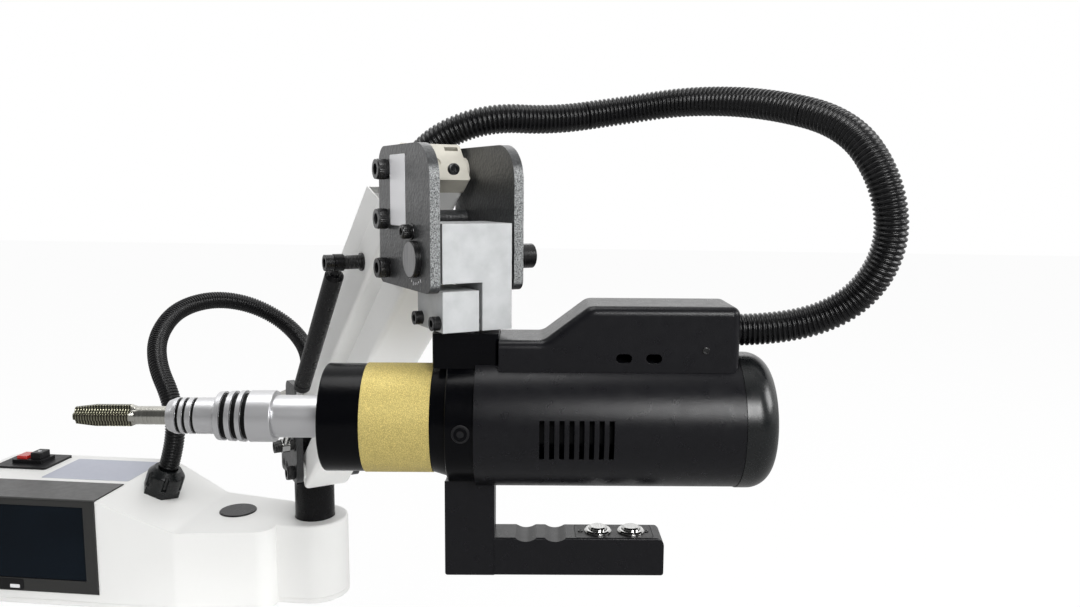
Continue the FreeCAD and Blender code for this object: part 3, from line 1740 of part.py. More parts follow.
def build_parts():
    """Every piece by its name."""
    left, right = -1, 1
    stop_x, start_x = switch_places()
    forward_x, reverse_x = push_places()
    low, high = pivot_heights()
    return {
        "base_housing": base_housing(),
        "base_plate": base_plate(),
        "column_post": column_post(),
        "screen_bezel": screen_bezel(),
        "touch_screen": touch_screen(),
        "switch_frame": switch_frame(),
        "stop_button": switch_button(stop_x, stop_button_height),
        "start_button": switch_button(start_x, start_button_height),
        "platform_plug": platform_plug(),
        "base_gland": base_gland(),
        "mains_inlet": mains_inlet(),
        "drive_module": drive_module(),
        "turret_hub": turret_hub(),
        "turret_bush": turret_bush(),
        "turret_plate_left": turret_plate(left),
        "turret_plate_right": turret_plate(right),
        "turret_pivot_pins": turret_pivot_pins(),
        "turret_cover": turret_cover(),
        "gas_lower_stud": gas_lower_stud(),
        "lower_link": on_link(link_tube(), low),
        "lower_link_end": on_link(end_block(open_pivot_clearance), low),
        "upper_link": on_link(link_tube().cut(gas_anchor_hole()), high),
        "upper_link_end": on_link(end_block(running_clearance), high),
        "cable_tray": on_link(cable_tray(), high),
        "gas_upper_stud": gas_upper_stud(),
        "gas_cylinder": gas_cylinder(),
        "gas_rod": gas_rod(),
        "fork_plate_left": fork_plate(left),
        "fork_plate_right": fork_plate(right),
        "fork_pivot_pins": fork_pivot_pins(),
        "fork_spacer": fork_spacer(),
        "tilt_pin": tilt_pin(),
        "knuckle_block": knuckle_block(),
        "clamp_block": clamp_block(),
        "clamp_screws": clamp_screws(),
        "swivel_stub": swivel_stub(),
        "mount_block": mount_block(),
        "motor_collar": motor_collar(),
        "motor_shell": motor_shell(),
        "motor_hump": motor_hump(),
        "motor_cap": motor_cap(),
        "motor_core": motor_core(),
        "gearbox_flange": gearbox_flange(),
        "gearbox_ring": gearbox_ring(),
        "gearbox_nose": gearbox_nose(),
        "handle_bracket": handle_bracket(),
        "handle_grip": handle_grip(),
        "button_panel": button_panel(),
        "push_bezels": push_bezels(),
        "forward_button": push_button(forward_x),
        "reverse_button": push_button(reverse_x),
        "spindle": spindle(),
        "chuck_sleeve": chuck_sleeve(),
        "tap_adaptor": tap_adaptor(),
        "tap": tap(),
        "lower_hose": lower_hose(),
        "upper_hose_rear": upper_hose_rear(),
        "upper_hose_middle": upper_hose_middle(),
        "upper_hose_front": upper_hose_front(),
    }


os.makedirs("parts", exist_ok=True)
for name, shape in build_parts().items():
    if not shape.isValid() or not shape.Solids:
        print("check", name, shape.isValid(), len(shape.Solids))
    shape.exportStep("parts/" + name + ".step")
    print(name, len(shape.Solids), round(shape.Volume))
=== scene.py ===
"""Finishes and small pieces that dress the arm tapping machine, with the studio it stands in."""

import logging
import math
from dataclasses import dataclass, field
from enum import Enum
from typing import Iterable, Sequence, Union

import bmesh
import bpy
from mathutils import Matrix, Vector


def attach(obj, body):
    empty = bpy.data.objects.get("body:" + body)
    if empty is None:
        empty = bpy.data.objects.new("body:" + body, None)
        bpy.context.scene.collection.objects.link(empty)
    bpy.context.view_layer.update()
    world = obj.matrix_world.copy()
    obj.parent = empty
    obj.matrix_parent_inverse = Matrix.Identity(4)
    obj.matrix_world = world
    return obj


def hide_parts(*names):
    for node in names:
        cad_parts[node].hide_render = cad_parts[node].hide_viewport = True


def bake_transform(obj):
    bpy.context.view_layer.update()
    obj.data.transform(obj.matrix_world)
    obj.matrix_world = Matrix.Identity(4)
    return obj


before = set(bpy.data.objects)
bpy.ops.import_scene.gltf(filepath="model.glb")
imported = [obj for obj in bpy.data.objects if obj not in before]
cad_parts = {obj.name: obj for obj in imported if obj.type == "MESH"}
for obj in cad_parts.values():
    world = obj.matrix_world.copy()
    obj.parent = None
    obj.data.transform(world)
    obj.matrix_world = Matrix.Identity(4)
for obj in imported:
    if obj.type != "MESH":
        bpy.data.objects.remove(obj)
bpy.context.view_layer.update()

LOG = logging.getLogger("tapping_arm")
Point = tuple[float, float, float]
Colour = tuple[float, float, float]
Value = Union["Signal", float, Sequence[float]]
Step = tuple[Vector, Vector, float]

MM = 0.001
WHITE: Colour = (1.0, 1.0, 1.0)
BLACK: Colour = (0.0, 0.0, 0.0)

# The arm's direction, the head's turn in degrees, and its place and axis in millimetres
ARM_HEADING: Point = (0.573576, -0.819152, 0.0)
HEAD_TURN = 6.5
HEAD_PLACE: Point = (275.317, -393.193, 0.0)
HEAD_AXIS_LEVEL = 344.0

EAST = Vector((1.0, 0.0, 0.0))
NORTH = Vector((0.0, 1.0, 0.0))
UP = Vector((0.0, 0.0, 1.0))
ARM_OUT = Vector(ARM_HEADING)
ARM_LEFT = UP.cross(ARM_OUT)
HEAD_OUT = Vector((math.cos(math.radians(HEAD_TURN)), math.sin(math.radians(HEAD_TURN)), 0.0))
HEAD_BACK = UP.cross(HEAD_OUT)
HEAD_ORIGIN = Vector(HEAD_PLACE)


class Body(Enum):
    """The bodies of the machine that its pieces ride on."""

    BASE = "base"
    TURRET = "turret"
    UPPER_ARM = "upper_arm"
    START_BUTTON = "start_button"
    FORK = "fork"
    KNUCKLE = "knuckle"
    HEAD = "head"
    SPINDLE = "spindle"
    SLEEVE = "chuck_sleeve"


class Ray(Enum):
    """The kinds of ray that the studio answers in different ways."""

    SEEN = "Is Camera Ray"
    MIRRORED = "Is Glossy Ray"
    PASSED = "Is Transmission Ray"


@dataclass(frozen=True)
class Signal:
    """One value, colour or vector that runs through a finish's nodes."""

    tree: "NodeTree"
    socket: bpy.types.NodeSocket | None

    def _with(self, operation: str, other: Value) -> "Signal":
        """Send this value and another through one Math node."""
        return self.tree.math(operation, self, other)

    def __add__(self, other: Value) -> "Signal":
        """Add a value."""
        return self._with("ADD", other)

    __radd__ = __add__

    def __mul__(self, other: Value) -> "Signal":
        """Multiply by a value."""
        return self._with("MULTIPLY", other)

    __rmul__ = __mul__

    def __sub__(self, other: Value) -> "Signal":
        """Take a value away."""
        return self._with("SUBTRACT", other)


class NodeTree:
    """The node tree of a material or of the world, built node by node."""

    def __init__(self, owner: bpy.types.Material | bpy.types.World) -> None:
        """Start an empty tree.

        Args:
            owner: The material or world that the tree belongs to.
        """
        owner.use_nodes = True
        self.graph = owner.node_tree
        self.graph.nodes.clear()

    def node(self, kind: str, settings: dict | None = None, out: int | str = 0, **inputs: Value) -> Signal:
        """Add a node.

        Args:
            kind: The node's type, without its ShaderNode prefix.
            settings: Properties that are set before the sockets.
            out: The output that is handed back.
            inputs: Socket values or links, by name with _ for a space, or by i0, i1 and so on.

        Returns:
            The chosen output, empty for a node that has none.
        """
        made = self.graph.nodes.new("ShaderNode" + kind)
        for key, value in (settings or {}).items():
            setattr(made, key, value)
        for key, value in inputs.items():
            place = int(key[1:]) if key[0] == "i" and key[1:].isdigit() else key.replace("_", " ")
            self._feed(made.inputs[place], value)
        return Signal(self, made.outputs[out] if len(made.outputs) else None)

    def _feed(self, socket: bpy.types.NodeSocket, value: Value) -> None:
        """Give a socket a link or a plain value."""
        if isinstance(value, Signal):
            self.graph.links.new(value.socket, socket)
        elif isinstance(value, (tuple, list)) and len(value) == 3 and socket.type == "RGBA":
            socket.default_value = (*value, 1.0)
        else:
            socket.default_value = value

    def math(self, operation: str, *values: Value) -> Signal:
        """Send values through one Math node."""
        return self.node("Math", {"operation": operation}, **{f"i{i}": v for i, v in enumerate(values)})

    def fade(self, value: Signal, low: float, high: float, to: tuple[Value, Value] = (0.0, 1.0)) -> Signal:
        """Map low to high onto another span, held at its ends."""
        return self.node(
            "MapRange", {"clamp": True}, Value=value,
            From_Min=low, From_Max=high, To_Min=to[0], To_Max=to[1],
        )

    def ray(self, kind: Ray) -> Signal:
        """1 for one kind of ray and 0 for the others."""
        return self.node("LightPath", out=kind.value)

    def choose(self, kind: Ray, others: Value, chosen: Value) -> Signal:
        """One level for a kind of ray and another for the others."""
        return self.fade(self.ray(kind), 0.0, 1.0, (others, chosen))


class FinishTree(NodeTree):
    """The node tree of one material."""

    def __init__(self, name: str) -> None:
        """Start an empty material.

        Args:
            name: The material's name.
        """
        self.material = bpy.data.materials.new(name)
        super().__init__(self.material)

    def place(self) -> Signal:
        """The point on the piece, in metres, in its own frame."""
        return self.node("TexCoord", out="Object")

    def stretch(self, sizes: Point, turn: Point = (0.0, 0.0, 0.0)) -> Signal:
        """The point on the piece, on axes turned by degrees and then drawn out to the given sizes."""
        turned = tuple(math.radians(angle) for angle in turn)
        kind = {"vector_type": "TEXTURE"}
        return self.node("Mapping", kind, Vector=self.place(), Rotation=turned, Scale=sizes)

    def noise(self, scale: float, detail: float = 3.0, at: Signal | None = None) -> Signal:
        """Cloudy variation from 0 to 1, with so many lumps a metre."""
        return self.node("TexNoise", Vector=at or self.place(), Scale=scale, Detail=detail)

    def cells(self, scale: float, at: Signal | None = None) -> Signal:
        """Distance to the nearest of scattered points, with so many points a metre."""
        return self.node("TexVoronoi", out="Distance", Vector=at or self.place(), Scale=scale)

    def mix(self, factor: Value, first: Value, second: Value) -> Signal:
        """Lay a second colour over a first by a factor."""
        return self.node("Mix", {"data_type": "RGBA"}, out=2, i0=factor, i6=first, i7=second)

    def bump(self, height: Signal, depth: float, normal: Signal | None = None) -> Signal:
        """Relief from a height that runs from 0 to 1, in metres of depth."""
        inputs: dict[str, Value] = {"Height": height, "Distance": depth, "Strength": 1.0}
        if normal is not None:
            inputs["Normal"] = normal
        return self.node("Bump", **inputs)

    def close(self, **inputs: Value) -> bpy.types.Material:
        """End the tree in a Principled surface.

        Args:
            inputs: The shader's sockets, by name with _ for a space.

        Returns:
            The finished material.
        """
        surface = self.node("BsdfPrincipled", **inputs)
        self.node("OutputMaterial", Surface=surface)
        self.material.diffuse_color = (0.5, 0.5, 0.5, 1.0)
        return self.material


def toned(colour: Colour, share: float) -> Colour:
    """A colour made darker or paler by a share."""
    return tuple(share * part for part in colour)


@dataclass(frozen=True)
class Finish:
    """A surface finish: its colour, gloss and fine relief."""

    name: str
    slot: str
    colour: Colour
    roughness: float
    metallic: float = 0.0
    coat: float = 0.0
    softening: float = 0.5 * MM
    specular: float = 0.5
    deep_share: float = 0.93
    gloss_spread: float = 0.12

    def tint(self, tree: FinishTree) -> Value:
        """The colour over the surface."""
        clouds = tree.fade(tree.noise(45.0, 4.0), 0.35, 0.7)
        return tree.mix(clouds, self.colour, toned(self.colour, self.deep_share))

    def gloss(self, tree: FinishTree) -> Value:
        """The roughness over the surface."""
        low, high = ((1.0 + sign * self.gloss_spread) * self.roughness for sign in (-1.0, 1.0))
        return tree.fade(tree.noise(120.0, 3.0), 0.3, 0.7, (low, high))

    def relief(self, tree: FinishTree, rounded: Signal) -> Signal:
        """The fine relief, as a normal over the rounded edges."""
        return tree.bump(tree.noise(900.0, 2.0), 0.03 * MM, rounded)

    def material(self) -> bpy.types.Material:
        """The material, made once for each finish."""
        known = bpy.data.materials.get(self.name)
        if known is not None:
            return known
        tree = FinishTree(self.name)
        rounded = tree.node("Bevel", {"samples": 4}, Radius=self.softening)
        return tree.close(
            Base_Color=self.tint(tree),
            Roughness=self.gloss(tree),
            Metallic=self.metallic,
            Coat_Weight=self.coat,
            Specular_IOR_Level=self.specular,
            Normal=self.relief(tree, rounded),
        )


@dataclass(frozen=True)
class PowderCoat(Finish):
    """Satin powder coat with a faint orange peel."""

    deep_share: float = 0.975
    peel: float = 0.05 * MM

    def tint(self, tree: FinishTree) -> Value:
        """An even colour, a touch deeper in places."""
        places = tree.fade(tree.noise(9.0, 2.0), 0.3, 0.7)
        return tree.mix(places, self.colour, toned(self.colour, self.deep_share))

    def relief(self, tree: FinishTree, rounded: Signal) -> Signal:
        """Orange peel."""
        return tree.bump(tree.noise(420.0, 1.0), self.peel, rounded)


@dataclass(frozen=True)
class HammeredEnamel(Finish):
    """Black enamel with a hammered skin, and a painted tone on the faces that look along front: painted light
    where pale, painted shade where dark.
    """

    # edge is the painted tone of the faces that look along front: pale by default, as painted light
    edge: Colour = (0.26, 0.27, 0.27)
    front: Point = ARM_HEADING
    speckle_share: float = 2.6
    hammering: float = 0.22 * MM

    def tint(self, tree: FinishTree) -> Value:
        """Fine speckle, with the painted front tone in coarser grains on the faces that look along front."""
        speckle = tree.fade(tree.noise(1100.0, 2.0), 0.48, 0.66)
        skin = tree.mix(speckle, self.colour, toned(self.colour, self.speckle_share))
        facing = tree.node("NewGeometry", out="Normal")
        ahead = tree.node("VectorMath", {"operation": "DOT_PRODUCT"}, out="Value", i0=facing, i1=self.front)
        # painted front tone: the faces that look along front take the edge colour in coarse grains
        grains = tree.fade(tree.noise(1000.0, 2.0), 0.36, 0.62) * tree.fade(ahead, 0.90, 0.98)
        return tree.mix(grains, skin, self.edge)

    def relief(self, tree: FinishTree, rounded: Signal) -> Signal:
        """Hammer marks."""
        return tree.bump(tree.cells(330.0) + 0.4 * tree.noise(900.0), self.hammering, rounded)


@dataclass(frozen=True)
class TurnedMetal(Finish):
    """Metal turned on a lathe, with fine rings across its length."""

    rings: float = 1800.0
    turn: Point = (0.0, 0.0, HEAD_TURN)
    deep_share: float = 0.74
    gloss_spread: float = 0.2
    tool_marks: float = 0.015 * MM

    def bands(self, tree: FinishTree, rings: float) -> Signal:
        """Fine bands round the turned length."""
        return tree.noise(rings, 2.0, tree.stretch((1.0, 60.0, 60.0), self.turn))

    def tint(self, tree: FinishTree) -> Value:
        """Colour in fine bands."""
        pale = tree.fade(self.bands(tree, self.rings), 0.3, 0.7)
        return tree.mix(pale, toned(self.colour, self.deep_share), self.colour)

    def gloss(self, tree: FinishTree) -> Value:
        """Gloss in fine bands."""
        low, high = ((1.0 + sign * self.gloss_spread) * self.roughness for sign in (-1.0, 1.0))
        return tree.fade(self.bands(tree, 0.6 * self.rings), 0.3, 0.7, (low, high))

    def relief(self, tree: FinishTree, rounded: Signal) -> Signal:
        """Tool marks."""
        return tree.bump(self.bands(tree, self.rings), self.tool_marks, rounded)


@dataclass(frozen=True)
class ThreadedSteel(TurnedMetal):
    """Ground steel with a dark cutting thread in front of a place on its axis."""

    thread: Colour = (0.060, 0.058, 0.042)
    origin: Point = HEAD_PLACE
    thread_back: float = -264.0 * MM
    run_out: float = 1.0 * MM
    pitch: float = 2.2 * MM
    thread_depth: float = 0.45 * MM
    crest_share: float = 6.0

    def along(self, tree: FinishTree) -> Signal:
        """The distance along the axis, in metres."""
        turned = math.radians(self.turn[2])
        offset = MM * (math.cos(turned) * self.origin[0] + math.sin(turned) * self.origin[1])
        place = tree.node("VectorRotate", {"rotation_type": "Z_AXIS"}, Vector=tree.place(), Angle=-turned)
        return tree.node("SeparateXYZ", Vector=place) - offset

    def crests(self, tree: FinishTree) -> Signal:
        """The thread's crests, from 0 to 1."""
        return 0.5 + 0.5 * tree.math("SINE", self.along(tree) * (2.0 * math.pi / self.pitch))

    def front(self, tree: FinishTree) -> Signal:
        """1 on the thread and 0 behind it."""
        return tree.fade(self.along(tree), self.thread_back + self.run_out, self.thread_back)

    def tint(self, tree: FinishTree) -> Value:
        """Steel behind, and a dark thread with paler crests in front."""
        pale = toned(self.thread, self.crest_share)
        ground = tree.mix(tree.fade(self.crests(tree), 0.55, 0.95), self.thread, pale)
        return tree.mix(self.front(tree), super().tint(tree), ground)

    def relief(self, tree: FinishTree, rounded: Signal) -> Signal:
        """Thread in front, tool marks behind."""
        height = self.crests(tree) * self.front(tree)
        return tree.bump(height, self.thread_depth, super().relief(tree, rounded))


@dataclass(frozen=True)
class BlastedAluminium(Finish):
    """Pale blasted aluminium with soft grey blotches."""

    deep_share: float = 0.84
    grain: float = 0.06 * MM

    def tint(self, tree: FinishTree) -> Value:
        """Blotches over a pale ground."""
        blotch = tree.fade(tree.noise(70.0, 6.0), 0.35, 0.70)
        return tree.mix(blotch, self.colour, toned(self.colour, self.deep_share))

    def relief(self, tree: FinishTree, rounded: Signal) -> Signal:
        """Blasted grain."""
        return tree.bump(tree.noise(1500.0, 3.0), self.grain, rounded)


@dataclass(frozen=True)
class Anodised(Finish):
    """Bright anodised metal with a fine sparkle."""

    deep_share: float = 0.5

    def tint(self, tree: FinishTree) -> Value:
        """Sparkle of light and dark grains."""
        grains = tree.fade(tree.cells(1600.0), 0.15, 0.5)
        return tree.mix(grains, self.colour, toned(self.colour, self.deep_share))


@dataclass(frozen=True)
class MouldedPlastic(Finish):
    """Moulded plastic with an even fine grain."""

    grain: float = 1400.0
    depth: float = 0.05 * MM

    def relief(self, tree: FinishTree, rounded: Signal) -> Signal:
        """Moulded grain."""
        return tree.bump(tree.cells(self.grain), self.depth, rounded)


@dataclass(frozen=True)
class ScreenGlass(Finish):
    """Dark glass over an unlit display."""

    haze_share: float = 1.5
    wiped_share: float = 2.2

    def tint(self, tree: FinishTree) -> Value:
        """A faint lighter haze."""
        haze = tree.fade(tree.noise(14.0, 1.0), 0.3, 0.8)
        return tree.mix(haze, self.colour, toned(self.colour, self.haze_share))

    def gloss(self, tree: FinishTree) -> Value:
        """Glass with faint wipe marks."""
        wiped = tree.noise(30.0, 4.0, tree.stretch((5.0, 1.0, 1.0)))
        return tree.fade(wiped, 0.4, 0.8, (self.roughness, self.wiped_share * self.roughness))

    def relief(self, tree: FinishTree, rounded: Signal) -> Signal:
        """Glass has almost none."""
        return tree.bump(tree.noise(60.0, 1.0), 0.004 * MM, rounded)


BASE_WHITE = PowderCoat("base_white", "base_paint", (0.84, 0.84, 0.825), 0.40, softening=1.6 * MM)
ARM_WHITE = PowderCoat("arm_white", "arm_paint", (0.82, 0.82, 0.805), 0.42, softening=1.0 * MM)
# the turret cover's white paint made darker and warmer, as painted shade
SHADED_COVER_WHITE = PowderCoat("shaded_cover_white", "cover_paint", (0.62, 0.60, 0.56), 0.42)
BLACK_ENAMEL = PowderCoat("black_enamel", "dark_paint", (0.0035, 0.0035, 0.0040), 0.28, specular=0.20)
JET_ENAMEL = PowderCoat("jet_enamel", "dark_paint", (0.0012, 0.0013, 0.0019), 0.22, specular=0.10)
# the fork plates' pale front faces are painted light
HAMMERED = HammeredEnamel("hammered_black", "dark_paint", (0.018, 0.019, 0.020), 0.36, specular=0.75)
# dark front faces of the turret plates and the fork spacer, as painted shade
FRONT_SHADED_ENAMEL = HammeredEnamel(
    "front_shaded_enamel", "dark_paint", (0.018, 0.019, 0.020), 0.36, specular=0.75, edge=(0.008, 0.008, 0.009)
)
BARE_STEEL = TurnedMetal("turned_steel", "turned_steel", (0.25, 0.246, 0.218), 0.15, metallic=1.0)
TAP_STEEL = ThreadedSteel("tap_steel", "bright_steel", (0.60, 0.59, 0.54), 0.22, metallic=1.0)
BLACK_OXIDE = TurnedMetal("black_oxide", "black_steel", (0.006, 0.006, 0.0065), 0.28, specular=0.45)
PIN_FACE = TurnedMetal("pin_face", "black_steel", (0.30, 0.30, 0.305), 0.42, metallic=0.5)
POLISHED = TurnedMetal("polished_steel", "bright_steel", (0.62, 0.62, 0.61), 0.10, metallic=1.0)
ALUMINIUM = BlastedAluminium(
    "blasted_aluminium", "machined_aluminium", (0.42, 0.43, 0.435), 0.46, metallic=0.10
)
END_BEIGE = BlastedAluminium("beige_aluminium", "machined_aluminium", (0.50, 0.48, 0.42), 0.50, metallic=0.10)
BUSH_BRONZE = TurnedMetal("bush_bronze", "bronze", (0.55, 0.36, 0.14), 0.32, metallic=1.0)
GOLD = Anodised("gold_ring", "gold_anodised", (0.86, 0.70, 0.24), 0.58, metallic=0.50)
SCREEN = ScreenGlass("screen_glass", "glass", (0.0025, 0.0048, 0.0080), 0.08, specular=0.10)
BLACK_MOULD = MouldedPlastic("black_mould", "black_plastic", (0.006, 0.006, 0.007), 0.42, specular=0.28)
GLOSS_BLACK = MouldedPlastic(
    "gloss_black", "gloss_plastic", (0.004, 0.0048, 0.0052), 0.27, specular=0.40, depth=0.01 * MM
)
CHARCOAL = MouldedPlastic("charcoal_mould", "charcoal_plastic", (0.0045, 0.0045, 0.0058), 0.30, specular=0.22)
BEZEL_GREY = MouldedPlastic("bezel_grey", "charcoal_plastic", (0.022, 0.022, 0.021), 0.34, specular=0.50)
RED_CAP = MouldedPlastic("red_cap", "red_plastic", (0.50, 0.020, 0.015), 0.28, coat=0.3)
HOSE_BLACK = MouldedPlastic("hose_black", "hose_plastic", (0.003, 0.003, 0.0035), 0.28, specular=0.30)
# dark rings laid in the chuck's grooves, as painted shade
GROOVE_SHADE = MouldedPlastic("groove_shade_black", "black_plastic", (0.002, 0.002, 0.002), 0.50, specular=0.10)
LABEL_BLANK = PowderCoat("blank_plate", "base_paint", (0.42, 0.44, 0.52), 0.34)
LABEL_WHITE = PowderCoat("white_plate", "base_paint", (0.80, 0.80, 0.82), 0.34)


def dress(finish: Finish, *nodes: str) -> None:
    """Give CAD nodes a finish, in place of their plain one.

    Args:
        finish: The finish that they take.
        nodes: The nodes' names.
    """
    for node in nodes:
        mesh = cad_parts[node]
        if not mesh.material_slots:
            mesh.data.materials.append(finish.material())
        for slot in mesh.material_slots:
            slot.material = finish.material()
        LOG.info("%s takes %s", node, finish.name)


@dataclass
class SmallPiece:
    """A small mesh that rides on one body."""

    name: str
    finish: Finish
    body: Body
    mesh: bmesh.types.BMesh = field(default_factory=bmesh.new)

    def place(self, matrix: Matrix, smooth: float = 30.0) -> bpy.types.Object:
        """Set the piece in the machine.

        Args:
            matrix: Its place in the machine's frame.
            smooth: The angle in degrees above which an edge stays sharp.

        Returns:
            The object.
        """
        data = bpy.data.meshes.new(self.name)
        self.mesh.to_mesh(data)
        self.mesh.free()
        data.transform(matrix)
        data.materials.append(self.finish.material())
        for face in data.polygons:
            face.use_smooth = True
        data.set_sharp_from_angle(angle=math.radians(smooth))
        made = bpy.data.objects.new(self.name, data)
        bpy.context.scene.collection.objects.link(made)
        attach(made, self.body.value)
        LOG.info("%s rides on %s", self.name, self.body.value)
        return made

    def loft(self, rings: Iterable[Sequence[Point]], closed: bool = False) -> None:
        """Skin rings of points, one after another, and cap both ends or join them if closed."""
        rows = [[self.mesh.verts.new(point) for point in ring] for ring in rings]
        pairs = list(zip(rows, rows[1:])) + ([(rows[-1], rows[0])] if closed else [])
        for first, second in pairs:
            for i in range(len(first)):
                j = (i + 1) % len(first)
                self.mesh.faces.new((first[i], first[j], second[j], second[i]))
        if not closed:
            self.mesh.faces.new(reversed(rows[0]))
            self.mesh.faces.new(rows[-1])


ROUND_SIDES = 48


def circle(radius: float, height: float, sides: int = 32) -> list[Point]:
    """Points of a level circle."""
    angles = [2.0 * math.pi * i / sides for i in range(sides)]
    return [(radius * math.cos(a), radius * math.sin(a), height) for a in angles]


def hexagon(radius: float, height: float, sides: int = 32) -> list[Point]:
    """Points of a level hexagon, as many as a circle has, with its corners at a radius."""
    points = []
    side = math.pi / 3.0
    for i in range(sides):
        angle = 2.0 * math.pi * i / sides
        within = (angle % side) - side / 2.0
        reach = radius * math.cos(side / 2.0) / math.cos(within)
        points.append((reach * math.cos(angle), reach * math.sin(angle), height))
    return points


@dataclass
class SocketHead:
    """The head of a hexagon socket screw that stands out of a face."""

    name: str
    body: Body
    radius: float
    height: float
    edge_share: float = 0.12
    key_share: float = 0.58
    depth_share: float = 0.55
    finish: Finish = BLACK_OXIDE

    def build(self, at: Sequence[float], facing: Sequence[float]) -> bpy.types.Object:
        """Make the head.

        Args:
            at: The middle of its foot, in millimetres.
            facing: The direction that it faces.

        Returns:
            The object.
        """
        piece = SmallPiece(self.name, self.finish, self.body)
        r, h = self.radius, self.height
        edge, key, deep = self.edge_share * r, self.key_share * r, self.depth_share * h
        piece.loft(
            [
                circle(r, 0.0), circle(r, h - edge), circle(r - 0.3 * edge, h - 0.3 * edge),
                circle(r - edge, h), hexagon(key + 0.3 * edge, h), hexagon(key, h - 0.5 * edge),
                hexagon(key, h - deep), circle(0.2 * r, h - 1.15 * deep),
            ]
        )
        turn = UP.rotation_difference(Vector(facing)).to_matrix().to_4x4()
        where = Matrix.Translation(Vector(at) * MM) @ turn @ Matrix.Diagonal((MM, MM, MM, 1.0))
        return piece.place(where)


@dataclass
class CorrugatedHose:
    """A corrugated hose laid on a smooth route from one body to another."""

    name: str
    node: str
    start_body: Body
    end_body: Body
    route: Sequence[Point]
    radius: float = 12.5
    pitch: float = 3.9
    rib_depth: float = 1.7
    plain_start: float = 0.0
    plain_stop: float = 0.0
    sides: int = 36
    steps_a_rib: float = 6.0
    crest_width: float = 1.5

    def centreline(self) -> list[Vector]:
        """Points along the route's smooth spline, in metres."""
        curve = bpy.data.curves.new(self.name + "_route", "CURVE")
        curve.dimensions = "3D"
        curve.resolution_u = 40
        spline = curve.splines.new("NURBS")
        spline.points.add(len(self.route) - 1)
        for point, place in zip(spline.points, self.route):
            point.co = (*(part * MM for part in place), 1.0)
        spline.order_u = 3
        spline.use_endpoint_u = True
        holder = bpy.data.objects.new(curve.name, curve)
        bpy.context.scene.collection.objects.link(holder)
        mesh = bpy.data.meshes.new_from_object(holder)
        line = [vertex.co.copy() for vertex in mesh.vertices]
        bpy.data.objects.remove(holder)
        return line

    def stations(self, line: Sequence[Vector], gap: float) -> list[Step]:
        """Even steps along a line.

        Args:
            line: Points of the line.
            gap: The step's length.

        Returns:
            The place, the direction and the distance gone at each step.
        """
        gone = [0.0]
        for first, second in zip(line, line[1:]):
            gone.append(gone[-1] + (second - first).length)
        count = round(gone[-1] / gap)
        found, k = [], 0
        for i in range(count + 1):
            want = gone[-1] * i / count
            while k < len(line) - 2 and gone[k + 1] < want:
                k += 1
            share = (want - gone[k]) / max(gone[k + 1] - gone[k], 1e-9)
            place = line[k].lerp(line[k + 1], share)
            ahead = line[min(k + 2, len(line) - 1)] - line[max(k - 1, 0)]
            found.append((place, ahead.normalized(), want))
        return found

    def section(self, gone: float, length: float) -> float:
        """The hose's radius at a distance along it, with whole ribs between its plain ends."""
        first, last = self.plain_start * MM, length - self.plain_stop * MM
        top, low = self.radius * MM, (self.radius - self.rib_depth) * MM
        if gone < first or gone > last:
            return low
        ribs = round((last - first) / (self.pitch * MM))
        wave = 0.5 - 0.5 * math.cos(2.0 * math.pi * ribs * (gone - first) / (last - first))
        return low + (top - low) * min(1.0, self.crest_width * wave)

    def skin(self, steps: Sequence[Step]) -> bpy.types.Mesh:
        """The hose's closed skin round its steps."""
        n, length = self.sides, steps[-1][2]
        side = steps[0][1].orthogonal().normalized()
        points, faces = [], []
        for place, ahead, gone in steps:
            side = (side - ahead * side.dot(ahead)).normalized()
            up = ahead.cross(side)
            reach = self.section(gone, length)
            for i in range(n):
                angle = 2.0 * math.pi * i / n
                points.append(place + reach * (math.cos(angle) * side + math.sin(angle) * up))
        for row in range(len(steps) - 1):
            for i in range(n):
                j = (i + 1) % n
                faces.append((row * n + i, row * n + j, (row + 1) * n + j, (row + 1) * n + i))
        faces.append(tuple(reversed(range(n))))
        faces.append(tuple(range((len(steps) - 1) * n, len(steps) * n)))
        data = bpy.data.meshes.new(self.name)
        data.from_pydata(points, [], faces)
        data.polygons.foreach_set("use_smooth", [True] * len(data.polygons))
        data.materials.append(HOSE_BLACK.material())
        return data

    def build(self) -> bpy.types.Object:
        """Returns:
            The object.
        """
        line = self.centreline()
        steps = self.stations(line, self.pitch * MM / self.steps_a_rib)
        length = steps[-1][2]
        data = self.skin(steps)
        made = bpy.data.objects.new(self.name, data)
        bpy.context.scene.collection.objects.link(made)
        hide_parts(self.node)
        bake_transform(made)
        LOG.info("%s is %.0f mm long", self.name, length / MM)
        return made


LOWER_ROUTE = (
    (-201.89, 0.0, 149.29), (-185.01, 0.0, 196.35), (-195.0, 9.0, 247.0), (-227.0, 32.0, 287.0),
    (-249.0, 74.0, 320.0), (-248.0, 128.0, 350.0), (-219.0, 180.0, 360.0), (-180.0, 221.0, 348.0),
    (-137.0, 242.0, 320.0), (-98.0, 229.0, 288.0), (-72.0, 186.0, 260.0), (-49.04, 88.35, 236.0),
    (-20.36, 47.39, 236.0),
)
REAR_ROUTE = (
    (184.03, -262.82, 509.88), (206.59, -295.05, 540.73), (235.0, -306.0, 569.0),
    (281.0, -302.0, 586.0), (332.0, -275.0, 585.0), (362.0, -266.0, 590.0),
)
MIDDLE_ROUTE = (
    (362.0, -266.0, 590.0), (392.0, -257.0, 595.0), (452.0, -267.0, 603.0),
    (514.0, -306.0, 597.0), (541.0, -331.0, 587.0),
)
FRONT_ROUTE = (
    (541.0, -331.0, 587.0), (568.0, -356.0, 577.0), (592.0, -384.0, 534.0), (600.0, -384.0, 483.0),
    (578.0, -370.0, 438.0), (526.7, -364.5, 415.75), (477.0, -370.2, 415.75),
)


